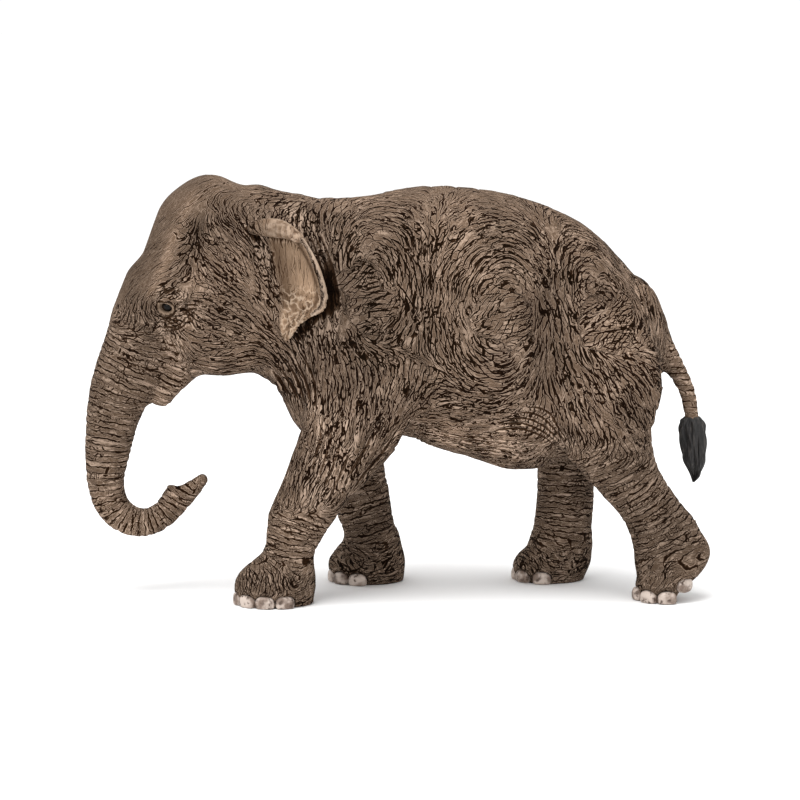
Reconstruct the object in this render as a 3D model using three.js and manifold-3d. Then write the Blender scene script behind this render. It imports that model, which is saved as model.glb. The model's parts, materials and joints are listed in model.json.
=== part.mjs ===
// Asian elephant cow, a moulded and hand-painted toy figure, walking.
// Millimetres. +Z is up, the elephant faces -X and its left side is towards -Y.
// The origin is on the ground, under the middle of the figure.
//
// The hide is one smooth implicit surface: tubes carried along the spine, head, trunk, tail and legs,
// with rounded masses for skull, cheeks, shoulders and hips, all melted together by a smooth minimum.
// It is meshed region by region and parted by thin plane cuts. The ears are lofted shells, and the
// nails and eyes are rounded solids that sit in sockets cut for them.
import * as THREE from "three";
import Module from "manifold-3d";
import { LoftGeometry } from "three/addons/geometries/LoftGeometry.js";
import { mergeVertices } from "three/addons/utils/BufferGeometryUtils.js";

// ---- Driving dimensions ----
const GAP = 0.3; // between neighbouring pieces
const FIGURE_LENGTH = 136; // trunk to heel
const SPINE_HEIGHT = 60; // middle of the barrel above the ground
const FRONT_TRACK = 12.5; // a front foot from the middle plane
const HIND_TRACK = 11.8; // a hind foot from the middle plane
const SOLE_LEVEL = 0;
const NAIL_LIFT = 0.25; // the nails end just above the ground
const EYE = { at: [-49.6, 11.1, 64.6], radius: 1.55 };
const REACH = FIGURE_LENGTH; // half side of a block that cuts right through the figure

// ---- Implicit shapes: each returns a signed distance, negative inside ----
const lerp = (a, b, t) => a + (b - a) * t;

// A Catmull-Rom curve through rows of numbers, at t from 0 to 1.
function through(rows, t) {
  const last = rows.length - 1;
  const i = Math.min(Math.floor(t * last), last - 1);
  const f = t * last - i;
  const at = (k) => rows[Math.max(0, Math.min(last, k))];
  const [a, b, c, d] = [at(i - 1), at(i), at(i + 1), at(i + 2)];
  return b.map(
    (_, n) =>
      0.5 *
      (2 * b[n] +
        (c[n] - a[n]) * f +
        (2 * a[n] - 5 * b[n] + 4 * c[n] - d[n]) * f * f +
        (3 * b[n] - a[n] - 3 * c[n] + d[n]) * f * f * f),
  );
}

// A tube with an elliptical section. Stations are [x, y, z, half depth, half width]: the depth lies in
// the XZ plane across the path and the width along Y. The ends are rounded by caps of the given length.
function tube(stations, caps = null, steps = 12) {
  const points = [];
  for (let i = 0; i <= steps; i++) points.push(through(stations, i / steps));
  const segments = points.slice(1).map((b, i) => {
    const a = points[i];
    const along = new THREE.Vector3(b[0] - a[0], b[1] - a[1], b[2] - a[2]);
    const length = along.length();
    const t = along.divideScalar(length);
    const side = new THREE.Vector3(0, 1, 0).addScaledVector(t, -t.y).normalize();
    return { a, b, t, side, across: side.clone().cross(t), length };
  });
  const [capA, capB] = caps ?? [stations[0][3], stations.at(-1)[3]];
  return (x, y, z) => {
    let best = Infinity;
    let found = Infinity;
    segments.forEach(({ a, b, t, side, across, length }, i) => {
      const [px, py, pz] = [x - a[0], y - a[1], z - a[2]];
      const s = px * t.x + py * t.y + pz * t.z;
      const f = Math.max(0, Math.min(1, s / length));
      const [qx, qy, qz] = [px - t.x * f * length, py - t.y * f * length, pz - t.z * f * length];
      const reach = Math.hypot(qx, qy, qz);
      if (reach >= best) return;
      best = reach;
      const beyond = s - f * length;
      const cap = i === 0 && beyond < 0 ? capA : capB;
      const k = Math.hypot(
        (qx * across.x + qy * across.y + qz * across.z) / lerp(a[3], b[3], f),
        (qx * side.x + qy * side.y + qz * side.z) / lerp(a[4], b[4], f),
        beyond / cap,
      );
      found = k > 1e-6 ? reach - reach / k : -Math.min(a[3], a[4]);
    });
    return found;
  };
}

// An ellipsoid pitched by some degrees about Y, nose down for a positive pitch.
function ellipsoid([cx, cy, cz], [rx, ry, rz], pitch = 0) {
  const [c, s] = [Math.cos((pitch * Math.PI) / 180), Math.sin((pitch * Math.PI) / 180)];
  return (x, y, z) => {
    const [px, py, pz] = [(x - cx) * c - (z - cz) * s, y - cy, (x - cx) * s + (z - cz) * c];
    const reach = Math.hypot(px, py, pz);
    const k = Math.hypot(px / rx, py / ry, pz / rz);
    return k > 1e-6 ? reach - reach / k : -Math.min(rx, ry, rz);
  };
}

const smoothMin = (a, b, k) => Math.min(a, b) - Math.max(k - Math.abs(a - b), 0) ** 2 / (4 * k);

// A mass of the body: a shape, the width over which it melts into what is there, and whether it is
// on both sides of the middle plane or carved away.
const mass = (shape, melt, { paired = false, carved = false } = {}) => ({ shape, melt, paired, carved });

function melted(masses) {
  return (x, y, z) =>
    masses.reduce((d, { shape, melt, paired, carved }) => {
      const e = shape(x, paired ? Math.abs(y) : y, z);
      return carved ? -smoothMin(-d, e, melt) : smoothMin(d, e, melt);
    }, Infinity);
}

// ---- The body ----
const both = { paired: true };
const hollow = { paired: true, carved: true };

const barrel = [
  mass(
    tube(
      [
        [-15, 0, SPINE_HEIGHT + 1.2, 22.2, 15.5],
        [-4, 0, SPINE_HEIGHT + 0.6, 25.6, 18.5],
        [8, 0, SPINE_HEIGHT + 0.3, 27.6, 21.2],
        [20, 0, SPINE_HEIGHT - 2.6, 28.4, 22],
        [32, 0, SPINE_HEIGHT - 6.8, 26.6, 20],
        [43, 0, SPINE_HEIGHT - 11, 20.9, 15.5],
      ],
      [9, 13.2],
      20,
    ),
    1,
  ),
  mass(tube([[-33, 0, 69, 17.6, 11.5], [-24, 0, 66.8, 18.4, 13], [-12, 0, 61.4, 21, 15.5]], [5, 8]), 8),
  mass(ellipsoid([-13.8, 0, 43], [9.6, 11, 11]), 5), // brisket
  mass(ellipsoid([27, 0, 42], [13, 13.5, 15]), 5), // groin
];

const girdles = [
  mass(ellipsoid([-9, 12.5, 60], [9.5, 6.5, 19], -8), 7, both), // shoulder blade
  mass(ellipsoid([38, 11, 68], [6.5, 5, 6.5], 30), 7, both), // point of the hip
  mass(ellipsoid([33, 19.5, 60], [3.5, 3.4, 12], -6), 6, hollow), // sunk flank before the hip
  mass(ellipsoid([4, 22.5, 74], [9, 4, 6]), 8, hollow), // behind the shoulder
];

const skull = [
  mass(ellipsoid([-37.3, 0, 75], [12.1, 12, 13]), 5),
  mass(ellipsoid([-40.6, 4.3, 82.3], [6.8, 5.6, 7.5]), 3.5, both), // twin domes of the crown
  mass(
    tube([
      [-43.6, 0, 79.2, 8.1, 8],
      [-46, 0, 73.6, 7.9, 9.6],
      [-49, 0, 67, 7.6, 9.8],
      [-52.2, 0, 60, 7.6, 8.8],
    ]),
    4,
  ), // face
  mass(ellipsoid([-38, 7.6, 60.5], [11.5, 6.2, 11.5], -20), 5, both), // cheek
  mass(ellipsoid([-48.3, 9, 65.4], [4.4, 2.6, 3.6], -20), 3, both), // around the eye
  mass(ellipsoid([-42, 14.6, 73.5], [6.5, 3, 5.5], -25), 5, hollow), // temple
  mass(tube([[-31, 0, 59, 8.8, 9], [-40, 0, 54.6, 7.4, 8.4], [-45.8, 0, 51.4, 4.2, 5.6]]), 4), // jaw
];

const lowerLip = mass(
  tube([
    [-45.2, 0, 50.4, 3.8, 4.6],
    [-48.3, 0, 46.4, 2.8, 3.5],
    [-50.7, 0, 43.1, 2.4, 2.6],
  ]),
  1.2,
);

const trunk = [
  mass(
    tube(
      [
        [-50.6, 0, 65.5, 8.1, 9.3],
        [-53.2, 0, 60, 7.7, 8.7],
        [-55.5, 0, 54.2, 7.5, 8],
        [-57.8, 0, 49, 7.1, 7.4],
        [-59.8, 0, 44.2, 6.5, 6.8],
        [-61.6, 0, 37.8, 5.6, 5.9],
        [-62.6, 0, 31, 4.85, 5.2],
        [-63.1, 0, 25, 4.1, 4.6],
        [-62, 0, 19.8, 3.65, 4.1],
        [-59, 0, 16.5, 3.3, 3.7],
        [-54.8, 0, 15.5, 3, 3.4],
        [-50.6, 0, 17.3, 2.85, 3.2],
        [-47.4, 0, 21.6, 3.1, 3.1],
      ],
      [6, 1.3],
      40,
    ),
    3,
  ),
  mass(tube([[-48, 0, 19.8, 2.4, 2.4], [-45.1, 0, 22.2, 2, 2], [-42.5, 0, 24.6, 1.3, 1.5]]), 1.2), // finger
];

// The nails stand in an arc round each foot, at these angles from the way the foot heads.
const FRONT_NAILS = [-66, -33, 0, 33, 66];
const HIND_NAILS = [-60, -20, 20, 60];

// Each leg is a tube from inside the body to the ankle, then a tube down to the sole. The foot's pad
// gives the nails their arc and how steeply the sole rises behind, `from` and `to` are its reach in X,
// and the two planes part the leg from the body and the foot from the leg.
const legs = {
  front_left: {
    side: -1,
    leg: [
      [-7, -12.6, 50, 12.6, 7.4],
      [-10.6, -13, 38, 10.5, 7.2],
      [-15.6, -13, 29.4, 8.3, 6.9],
      [-19.3, -12.8, 23, 6.9, 6.4],
      [-22.4, -12.4, 17, 6.4, 6],
      [-23.7, -FRONT_TRACK, 12.4, 5.3, 5.7],
      [-24.4, -FRONT_TRACK, 9, 5.3, 5.8],
    ],
    foot: [
      [-24.2, -FRONT_TRACK, 10, 4.9, 5.6],
      [-25.4, -FRONT_TRACK, 7, 6.5, 6.9],
      [-26.9, -FRONT_TRACK, 3.8, 9.2, 7.7],
      [-27.1, -FRONT_TRACK, -1, 8, 6],
    ],
    pad: { at: [-27.4, -FRONT_TRACK], deep: 8.2, wide: 7.6, toes: FRONT_NAILS, heading: 42, rising: 0 },
    from: -45,
    to: 2.5,
    top: { through: [-10, -12, 36], facing: [-0.15, -0.4, -0.9] },
    ankle: { through: [-24, -FRONT_TRACK, 10.4], facing: [-0.22, 0, -0.97] },
  },
  front_right: {
    side: 1,
    leg: [
      [-9, 12.6, 50, 10.4, 7.4],
      [-9.6, 13, 38, 8, 7.2],
      [-9.6, 13, 28, 6.8, 6.6],
      [-7.7, 12.6, 18.5, 6.3, 6.1],
      [-5.9, 12.2, 12, 5.6, 5.7],
      [-5.2, FRONT_TRACK, 9, 5.8, 5.8],
    ],
    foot: [
      [-5, FRONT_TRACK, 10, 5.2, 5.6],
      [-5.1, FRONT_TRACK, 6.6, 7.2, 7],
      [-6, FRONT_TRACK, 3.6, 8.8, 7.7],
      [-6.2, FRONT_TRACK, -1, 7.7, 6],
    ],
    pad: { at: [-6.4, FRONT_TRACK], deep: 8.2, wide: 7.6, toes: FRONT_NAILS, heading: 6, rising: 0 },
    from: -45,
    to: 2.5,
    top: { through: [-9, 12, 36], facing: [-0.1, 0.4, -0.9] },
    ankle: { through: [-6, FRONT_TRACK, 10.4], facing: [0, 0, -1] },
  },
  hind_left: {
    side: -1,
    leg: [
      [36.6, -10.6, 57, 15, 8.5],
      [41.5, -12.2, 46.5, 14.4, 9],
      [43.8, -12.8, 35.5, 10, 8.3],
      [47.9, -12.6, 27, 6.9, 7.2],
      [52.4, -12.2, 20.4, 6, 6.4],
      [56, -HIND_TRACK, 14.4, 7, 6.2],
    ],
    foot: [
      [56, -HIND_TRACK, 14.6, 7, 6.2],
      [57.7, -HIND_TRACK, 9.6, 8.7, 7],
      [56.8, -HIND_TRACK, 5.8, 7.2, 7.2],
      [54.8, -HIND_TRACK, 2, 4.3, 6.6],
      [54.7, -HIND_TRACK, -2, 3.4, 5.6],
    ],
    pad: { at: [56.3, -HIND_TRACK], deep: 6.6, wide: 7.2, toes: HIND_NAILS, heading: 68, rising: 0.7 },
    from: 24,
    to: 80,
    top: { through: [44, -12, 36.9], facing: [0.355, -0.532, -0.769] },
    ankle: { through: [57.2, -HIND_TRACK, 13], facing: [0.3, 0, -0.95] },
  },
  hind_right: {
    side: 1,
    leg: [
      [36.6, 10.6, 57, 15, 8.5],
      [38.4, 12.2, 46, 12.6, 8.8],
      [38.4, 12.8, 35, 8.6, 8],
      [37.4, 12.4, 25, 6.4, 6.8],
      [37.1, 12, 16.5, 6.3, 6.2],
      [36.4, HIND_TRACK, 9.5, 6.5, 6.2],
    ],
    foot: [
      [36.5, HIND_TRACK, 10, 6.3, 6.1],
      [35.6, HIND_TRACK, 6.6, 7.4, 6.9],
      [34.3, HIND_TRACK, 3.6, 8.5, 7.4],
      [33.6, HIND_TRACK, -1, 7.2, 6],
    ],
    pad: { at: [33.8, HIND_TRACK], deep: 8, wide: 7.3, toes: HIND_NAILS, heading: 12, rising: 0 },
    from: 15,
    to: 60,
    top: { through: [37, 12, 35.2], facing: [0.25, 0.5, -0.83] },
    ankle: { through: [36.2, HIND_TRACK, 10.6], facing: [-0.08, 0, -1] },
  },
};

const limbs = Object.values(legs).flatMap(({ leg, foot }) => [
  mass(tube(leg), 3),
  mass(tube(foot, [2, 3]), 1.5),
]);

const tailPath = [
  [54, 0, 56.6, 3.4, 3],
  [57.3, 0, 51.8, 2.6, 2.5],
  [60.4, 0, 47, 2, 2],
  [62.4, 0, 42.6, 1.7, 1.7],
  [63.2, 0, 38.6, 1.5, 1.5],
  [63.5, 0, 35.8, 1.4, 1.4],
];

const hide = melted([
  ...barrel,
  ...girdles,
  ...skull,
  lowerLip,
  ...trunk,
  ...limbs,
  mass(tube(tailPath, [3, 1]), 2.5),
]);

// ---- Meshing ----
const wasm = await Module();
wasm.setup();

// A closed geometry as a manifold-3d solid, and back.
function solid(geometry) {
  const bare = geometry.index ? geometry.toNonIndexed() : geometry.clone();
  const points = new THREE.BufferGeometry().setAttribute("position", bare.attributes.position);
  const merged = mergeVertices(points, 1e-4);
  return new wasm.Manifold(
    new wasm.Mesh({
      numProp: 3,
      vertProperties: merged.attributes.position.array,
      triVerts: new Uint32Array(merged.index.array),
    }),
  );
}

function geometryOf(manifold) {
  const { vertProperties, triVerts } = manifold.getMesh();
  const geometry = new THREE.BufferGeometry();
  geometry.setAttribute("position", new THREE.BufferAttribute(vertProperties, 3));
  geometry.setIndex(new THREE.BufferAttribute(triVerts, 1));
  geometry.computeVertexNormals();
  return geometry;
}

// The surface where a field is zero, inside a window, as a solid: one vertex for each grid cell that
// the surface crosses, pulled onto it by Newton's steps, and one quad for each grid edge it crosses.
function surfaceOf(field, [low, high], cell) {
  const count = low.map((lo, i) => Math.ceil((high[i] - lo) / cell) + 1);
  const [nx, ny, nz] = count;
  const index = (i, j, k) => (k * ny + j) * nx + i;
  const value = new Float64Array(nx * ny * nz);
  const isBorder = (i, j, k) => i % (nx - 1) === 0 || j % (ny - 1) === 0 || k % (nz - 1) === 0;
  for (let k = 0; k < nz; k++)
    for (let j = 0; j < ny; j++)
      for (let i = 0; i < nx; i++) {
        const d = field(low[0] + i * cell, low[1] + j * cell, low[2] + k * cell);
        value[index(i, j, k)] = isBorder(i, j, k) ? Math.max(d, cell / 2) : d;
      }
  const positions = [];
  const vertexOf = new Map();
  const corners = [0, 1, 2, 3, 4, 5, 6, 7].map((n) => [n & 1, (n >> 1) & 1, n >> 2]);
  const edges = corners.flatMap((a, m) =>
    corners.slice(m + 1).filter((b) => a.filter((v, n) => v !== b[n]).length === 1).map((b) => [a, b]),
  );
  const cellVertex = (i, j, k) => {
    const sum = new THREE.Vector3();
    let crossings = 0;
    for (const [a, b] of edges) {
      const va = value[index(i + a[0], j + a[1], k + a[2])];
      const vb = value[index(i + b[0], j + b[1], k + b[2])];
      if (va < 0 === vb < 0) continue;
      const f = va / (va - vb);
      sum.add(new THREE.Vector3(i + lerp(a[0], b[0], f), j + lerp(a[1], b[1], f), k + lerp(a[2], b[2], f)));
      crossings++;
    }
    const p = sum.multiplyScalar(cell / crossings).add(new THREE.Vector3(...low));
    const nearBorder = corners.some(([a, b, c]) => isBorder(i + a, j + b, k + c));
    return nearBorder ? p : onto(field, p, cell);
  };
  const vertex = (i, j, k) => {
    const id = index(i, j, k);
    if (!vertexOf.has(id)) {
      vertexOf.set(id, positions.length / 3);
      positions.push(...cellVertex(i, j, k));
    }
    return vertexOf.get(id);
  };
  const triangles = [];
  const at = (v) => new THREE.Vector3().fromArray(positions, v * 3);
  const quad = (a, b, c, d) => {
    const shorter = at(a).distanceTo(at(c)) < at(b).distanceTo(at(d));
    triangles.push(...(shorter ? [a, b, c, a, c, d] : [a, b, d, b, c, d]));
  };
  for (let k = 0; k < nz - 1; k++)
    for (let j = 0; j < ny - 1; j++)
      for (let i = 0; i < nx - 1; i++) {
        const inside = value[index(i, j, k)] < 0;
        const around = [
          [index(i + 1, j, k), [[0, -1, -1], [0, 0, -1], [0, 0, 0], [0, -1, 0]]],
          [index(i, j + 1, k), [[-1, 0, -1], [-1, 0, 0], [0, 0, 0], [0, 0, -1]]],
          [index(i, j, k + 1), [[-1, -1, 0], [0, -1, 0], [0, 0, 0], [-1, 0, 0]]],
        ];
        for (const [next, cells] of around) {
          if (inside === value[next] < 0) continue;
          const ring = cells.map(([a, b, c]) => vertex(i + a, j + b, k + c));
          quad(...(inside ? ring : ring.reverse()));
        }
      }
  const geometry = new THREE.BufferGeometry();
  geometry.setAttribute("position", new THREE.Float32BufferAttribute(positions, 3));
  geometry.setIndex(triangles);
  return solid(geometry);
}

// Moves a point onto the field's zero surface, no further than most of a cell.
function onto(field, p, cell) {
  const h = 0.02;
  const start = p.clone();
  for (let step = 0; step < 3; step++) {
    const d = field(p.x, p.y, p.z);
    const slope = new THREE.Vector3(
      field(p.x + h, p.y, p.z) - field(p.x - h, p.y, p.z),
      field(p.x, p.y + h, p.z) - field(p.x, p.y - h, p.z),
      field(p.x, p.y, p.z + h) - field(p.x, p.y, p.z - h),
    ).divideScalar(2 * h);
    p.addScaledVector(slope, -d / Math.max(slope.lengthSq(), 0.1));
  }
  return p.sub(start).clampLength(0, 0.7 * cell).add(start);
}

// The half of space on the side that a plane faces, moved back by some millimetres.
function beyond({ through: at, facing }, back = 0) {
  const normal = new THREE.Vector3(...facing).normalize();
  const block = new THREE.BoxGeometry(2 * REACH, 2 * REACH, 2 * REACH).translate(0, 0, REACH);
  block.applyQuaternion(new THREE.Quaternion().setFromUnitVectors(new THREE.Vector3(0, 0, 1), normal));
  block.translate(...new THREE.Vector3(...at).addScaledVector(normal, back));
  return solid(block);
}

const turned = ({ through: at, facing }) => ({ through: at, facing: facing.map((v) => -v) });

function blockBetween(low, high) {
  const size = high.map((v, i) => v - low[i]);
  return solid(new THREE.BoxGeometry(...size).translate(...low.map((v, i) => v + size[i] / 2)));
}

// ---- The cuts and the pieces between them ----
const cuts = {
  nape: { through: [-27, 0, 66.5], facing: [-0.98, 0, 0.2] },
  withers: { through: [-19.5, 0, 65], facing: [-0.967, 0, 0.253] },
  trunkRoot: { through: [-56, 0, 53.5], facing: [-0.72, 0, -0.69] },
  mouth: { through: [-49, 0, 47.6], facing: [0.42, 0, -0.91] },
  trunkMiddle: { through: [-62, 0, 37], facing: [-0.2, 0, -0.98] },
  trunkEnd: { through: [-61.2, 0, 18], facing: [0.75, 0, -0.66] },
  tailRoot: { through: [59.3, 0, 50.5], facing: [0.95, 0, -0.32] },
  tuft: { through: [63.4, 0, 37.2], facing: [0.1, 0, -1] },
};

// The pieces down the middle: the block each one is in, how fine it is, and the cuts it lies beyond.
const pieces = {
  head: {
    block: [[-66, -18, 44], [-20, 18, 94]],
    cell: 3.6,
    beyond: [cuts.nape, turned(cuts.trunkRoot), turned(cuts.mouth)],
  },
  lower_jaw: {
    block: [[-55, -14, 38], [-24, 14, 58]],
    cell: 2.6,
    beyond: [cuts.nape, cuts.mouth, turned(cuts.trunkRoot)],
  },
  neck: {
    block: [[-38, -21, 36], [-8, 21, 94]],
    cell: 4,
    beyond: [turned(cuts.nape), cuts.withers],
  },
  trunk_upper: {
    block: [[-74, -13, 32], [-46, 13, 66]],
    cell: 3,
    beyond: [cuts.trunkRoot, turned(cuts.trunkMiddle)],
  },
  trunk_middle: {
    block: [[-72, -9, 8], [-52, 9, 44]],
    cell: 2.5,
    beyond: [cuts.trunkMiddle, turned(cuts.trunkEnd)],
  },
  trunk_tip: {
    block: [[-68, -7, 8], [-38, 7, 30]],
    cell: 1.9,
    beyond: [cuts.trunkEnd],
  },
  torso: {
    block: [[-32, -28, 18], [68, 28, 94]],
    cell: 5.3,
    beyond: [turned(cuts.withers), turned(cuts.tailRoot)],
  },
};
const LEG_CELL = 4.2;
const FOOT_CELL = 3.4;
const EAR_BED_CELL = 3.6;

// The part of the hide in a block that lies beyond every given cut, less half a gap at each.
function parted({ block, cell, beyond: planes }) {
  return planes.reduce((s, plane) => s.intersect(beyond(plane, GAP / 2)), surfaceOf(hide, block, cell));
}

const paint = (color, roughness) => new THREE.MeshStandardMaterial({ color, roughness, metalness: 0 });
const finishes = {
  hide: paint(0x6a5646, 0.75),
  ear: paint(0x957e69, 0.75),
  nail: paint(0xb3a296, 0.6),
  eye: paint(0x14110f, 0.15),
  hair: paint(0x2b2724, 0.7),
};

const elephant = new THREE.Group();

function add(name, manifold, finish) {
  const mesh = new THREE.Mesh(geometryOf(manifold), finishes[finish]);
  mesh.name = name;
  elephant.add(mesh);
}

// ---- Nails and eyes ----
// A nail is a rounded shield leaning against the foot, cut off just above the ground.
const NAIL = { thick: 1.3, wide: 1.9, tall: 2, rise: 0.9, sunk: 0.6 };
const nailAbove = blockBetween([-REACH, -REACH, SOLE_LEVEL + NAIL_LIFT], [REACH, REACH, REACH]);

function nail({ at, deep, wide, heading, rising }, angle, grown = 0) {
  const turn = ((180 + angle + heading) * Math.PI) / 180;
  const back = Math.max(0, Math.cos(turn) * deep);
  const shape = new THREE.SphereGeometry(1, 7, 4);
  shape.scale(NAIL.thick + grown, NAIL.wide + grown, NAIL.tall + grown);
  shape.rotateZ(turn);
  shape.translate(
    at[0] + Math.cos(turn) * (deep - NAIL.sunk),
    at[1] + Math.sin(turn) * (wide - NAIL.sunk),
    NAIL.rise + rising * back,
  );
  return solid(shape);
}

const eyeball = (side, grown = 0) =>
  solid(
    new THREE.SphereGeometry(EYE.radius + grown, 9, 6).translate(EYE.at[0], side * EYE.at[1], EYE.at[2]),
  );

// ---- Ears ----
// Rows down the ear: [height, root x, root y, edge x, edge y]. The blade bows in between them.
const EAR_ROWS = [
  [82.1, -30.8, 12.4, -27.2, 13.8],
  [81.2, -30.4, 12.8, -23.4, 16.2],
  [78.2, -29.8, 13.2, -20.6, 18.6],
  [74, -29, 13.6, -18.2, 20.2],
  [69.4, -28.2, 14, -16.5, 21],
  [65.6, -27.6, 14.2, -16.3, 20.8],
  [62.8, -27, 14, -18.2, 19.4],
  [60.6, -26.6, 14, -21.5, 17.4],
  [58.4, -26.2, 14.2, -23.3, 16.2],
  [56.8, -25.2, 14.6, -24.2, 15.2],
];
const EAR = { rows: 10, columns: 4, thick: 1.3, rim: 0.5, bow: 1.7, broad: 9 };

function earBlade() {
  const sections = [];
  for (let i = 0; i <= EAR.rows; i++) {
    const [z, rx, ry, ex, ey] = through(EAR_ROWS, i / EAR.rows);
    const span = new THREE.Vector2(ex - rx, ey - ry);
    const out = new THREE.Vector2(-span.y, span.x).normalize(); // away from the neck
    const face = (u, lift) => {
      const bow = -EAR.bow * Math.sin(Math.PI * u) * Math.min(1, span.length() / EAR.broad);
      const rim = u > 0.8 ? EAR.rim : 0;
      const shift = bow + lift * (EAR.thick / 2 + rim);
      return new THREE.Vector3(rx + span.x * u + out.x * shift, ry + span.y * u + out.y * shift, z);
    };
    const loop = [];
    for (let j = 0; j <= EAR.columns; j++) loop.push(face(j / EAR.columns, 1));
    for (let j = EAR.columns; j >= 0; j--) loop.push(face(j / EAR.columns, -1));
    sections.push(loop);
  }
  return solid(new LoftGeometry(sections, { capStart: true, capEnd: true }));
}

// The upper rim flops over outwards: a flat band along the top of the blade.
const EAR_FOLD = [[-30.8, 12.6, 80], [-27.4, 14.6, 80.4], [-24, 16.8, 79.8], [-21.6, 18.4, 78.2]];
const EAR_FOLD_SECTION = { thick: 0.75, tall: 1.6, sides: 8, steps: 6, lift: 0.4, blunt: 0.85 };

function earFold() {
  const { thick, tall, sides, steps, lift, blunt } = EAR_FOLD_SECTION;
  const sections = [];
  for (let i = 0; i <= steps; i++) {
    const [x, y, z] = through(EAR_FOLD, i / steps);
    const end = Math.sqrt(1 - (blunt * (2 * i - steps)) ** 2 / steps ** 2);
    const loop = [];
    for (let j = 0; j < sides; j++) {
      const a = (2 * Math.PI * j) / sides;
      loop.push(new THREE.Vector3(x, y + lift + thick * end * Math.cos(a), z + tall * end * Math.sin(a)));
    }
    sections.push(loop);
  }
  return solid(new LoftGeometry(sections, { capStart: true, capEnd: true }));
}

// ---- Tail ----
const TUFT = [
  [63.4, 0, 38, 1.4, 1.4],
  [63.4, 0, 36, 2.1, 1.9],
  [63.4, 0, 33.4, 3, 2.4],
  [63.8, 0, 29.8, 2.9, 2.4],
  [64.2, 0, 26.6, 2, 1.8],
  [64.3, 0, 24, 0.6, 0.6],
];

// A loft along stations like those of a tube, with every second rib drawn in by a share of its size.
function strand(stations, steps, ribs, drawnIn = 0) {
  const sections = [];
  for (let i = 0; i <= steps; i++) {
    const [x, y, z, deep, wide] = through(stations, i / steps);
    const before = through(stations, Math.max(0, i / steps - 0.01));
    const after = through(stations, Math.min(1, i / steps + 0.01));
    const along = new THREE.Vector2(after[0] - before[0], after[2] - before[2]).normalize();
    const loop = [];
    for (let j = 0; j < ribs; j++) {
      const a = (2 * Math.PI * j) / ribs;
      const lock = 1 - drawnIn * (j % 2);
      const across = deep * lock * Math.cos(a);
      loop.push(new THREE.Vector3(x - across * along.y, y + wide * lock * Math.sin(a), z + across * along.x));
    }
    sections.push(loop.reverse());
  }
  return solid(new LoftGeometry(sections, { capStart: true, capEnd: true }));
}

// ---- Assembly ----
const groundCut = beyond({ through: [0, 0, SOLE_LEVEL], facing: [0, 0, 1] });
const leftOrRight = (side) => (side < 0 ? "left" : "right");

let head = parted(pieces.head);
for (const side of [-1, 1]) {
  head = head.subtract(eyeball(side, GAP));
  add(`eye_${leftOrRight(side)}`, eyeball(side), "eye");

  const bed = surfaceOf((x, y, z) => hide(x, side * y, z) - GAP, [[-38, 4, 52], [-10, 26, 90]], EAR_BED_CELL);
  const ear = earBlade().add(earFold()).subtract(bed);
  add(`ear_${leftOrRight(side)}`, side < 0 ? ear.mirror([0, 1, 0]) : ear, "ear");
}
add("head", head, "hide");
for (const name of ["lower_jaw", "neck", "trunk_upper", "trunk_middle", "trunk_tip"]) {
  add(name, parted(pieces[name]), "hide");
}

let torso = parted(pieces.torso);
for (const [name, { side, from, to, pad, top, ankle }] of Object.entries(legs)) {
  const [near, far] = side < 0 ? [-30, -0.5] : [0.5, 30];
  const belowBody = blockBetween([from, near, -5], [to, far, 60]);
  torso = torso.subtract(beyond(top, -GAP / 2).intersect(belowBody));

  const legBlock = [[from, near, ankle.through[2] - 8], [to, far, 56]];
  const leg = parted({ block: legBlock, cell: LEG_CELL, beyond: [top, turned(ankle)] });
  add(`leg_${name}`, leg.intersect(belowBody), "hide");

  const footBlock = [[from, near, -5], [to, far, 22]];
  let foot = parted({ block: footBlock, cell: FOOT_CELL, beyond: [ankle] }).intersect(groundCut);
  pad.toes.forEach((angle, i) => {
    foot = foot.subtract(nail(pad, angle, GAP));
    add(`nail_${name}_${i + 1}`, nail(pad, angle).intersect(nailAbove), "nail");
  });
  add(`foot_${name}`, foot, "hide");
}
add("torso", torso, "hide");

const tail = strand(tailPath, 9, 10).intersect(beyond(cuts.tailRoot, GAP / 2));
add("tail", tail.intersect(beyond(turned(cuts.tuft), GAP / 2)), "hide");
add("tail_tuft", strand(TUFT, 7, 10, 0.12).intersect(beyond(cuts.tuft, GAP / 2)), "hair");

export default elephant;
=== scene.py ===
# %% [markdown]
# # A moulded and hand-painted toy elephant
# The real thing is a solid plastic figure about 134 mm long: an Asian elephant cow in mid stride. Every
# wrinkle is cut into the mould, so the hide is one skin with real folds, and the paint only helps them:
# a dark wash has run into the creases and a pale colour is dry-brushed over the ridges. The packed
# model is loaded first, and its box is kept. The looks may not change its size.
# %% The packed model as the frame
import json
import math
import bmesh
import bpy
import numpy as np
from mathutils import Matrix, Vector

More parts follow.
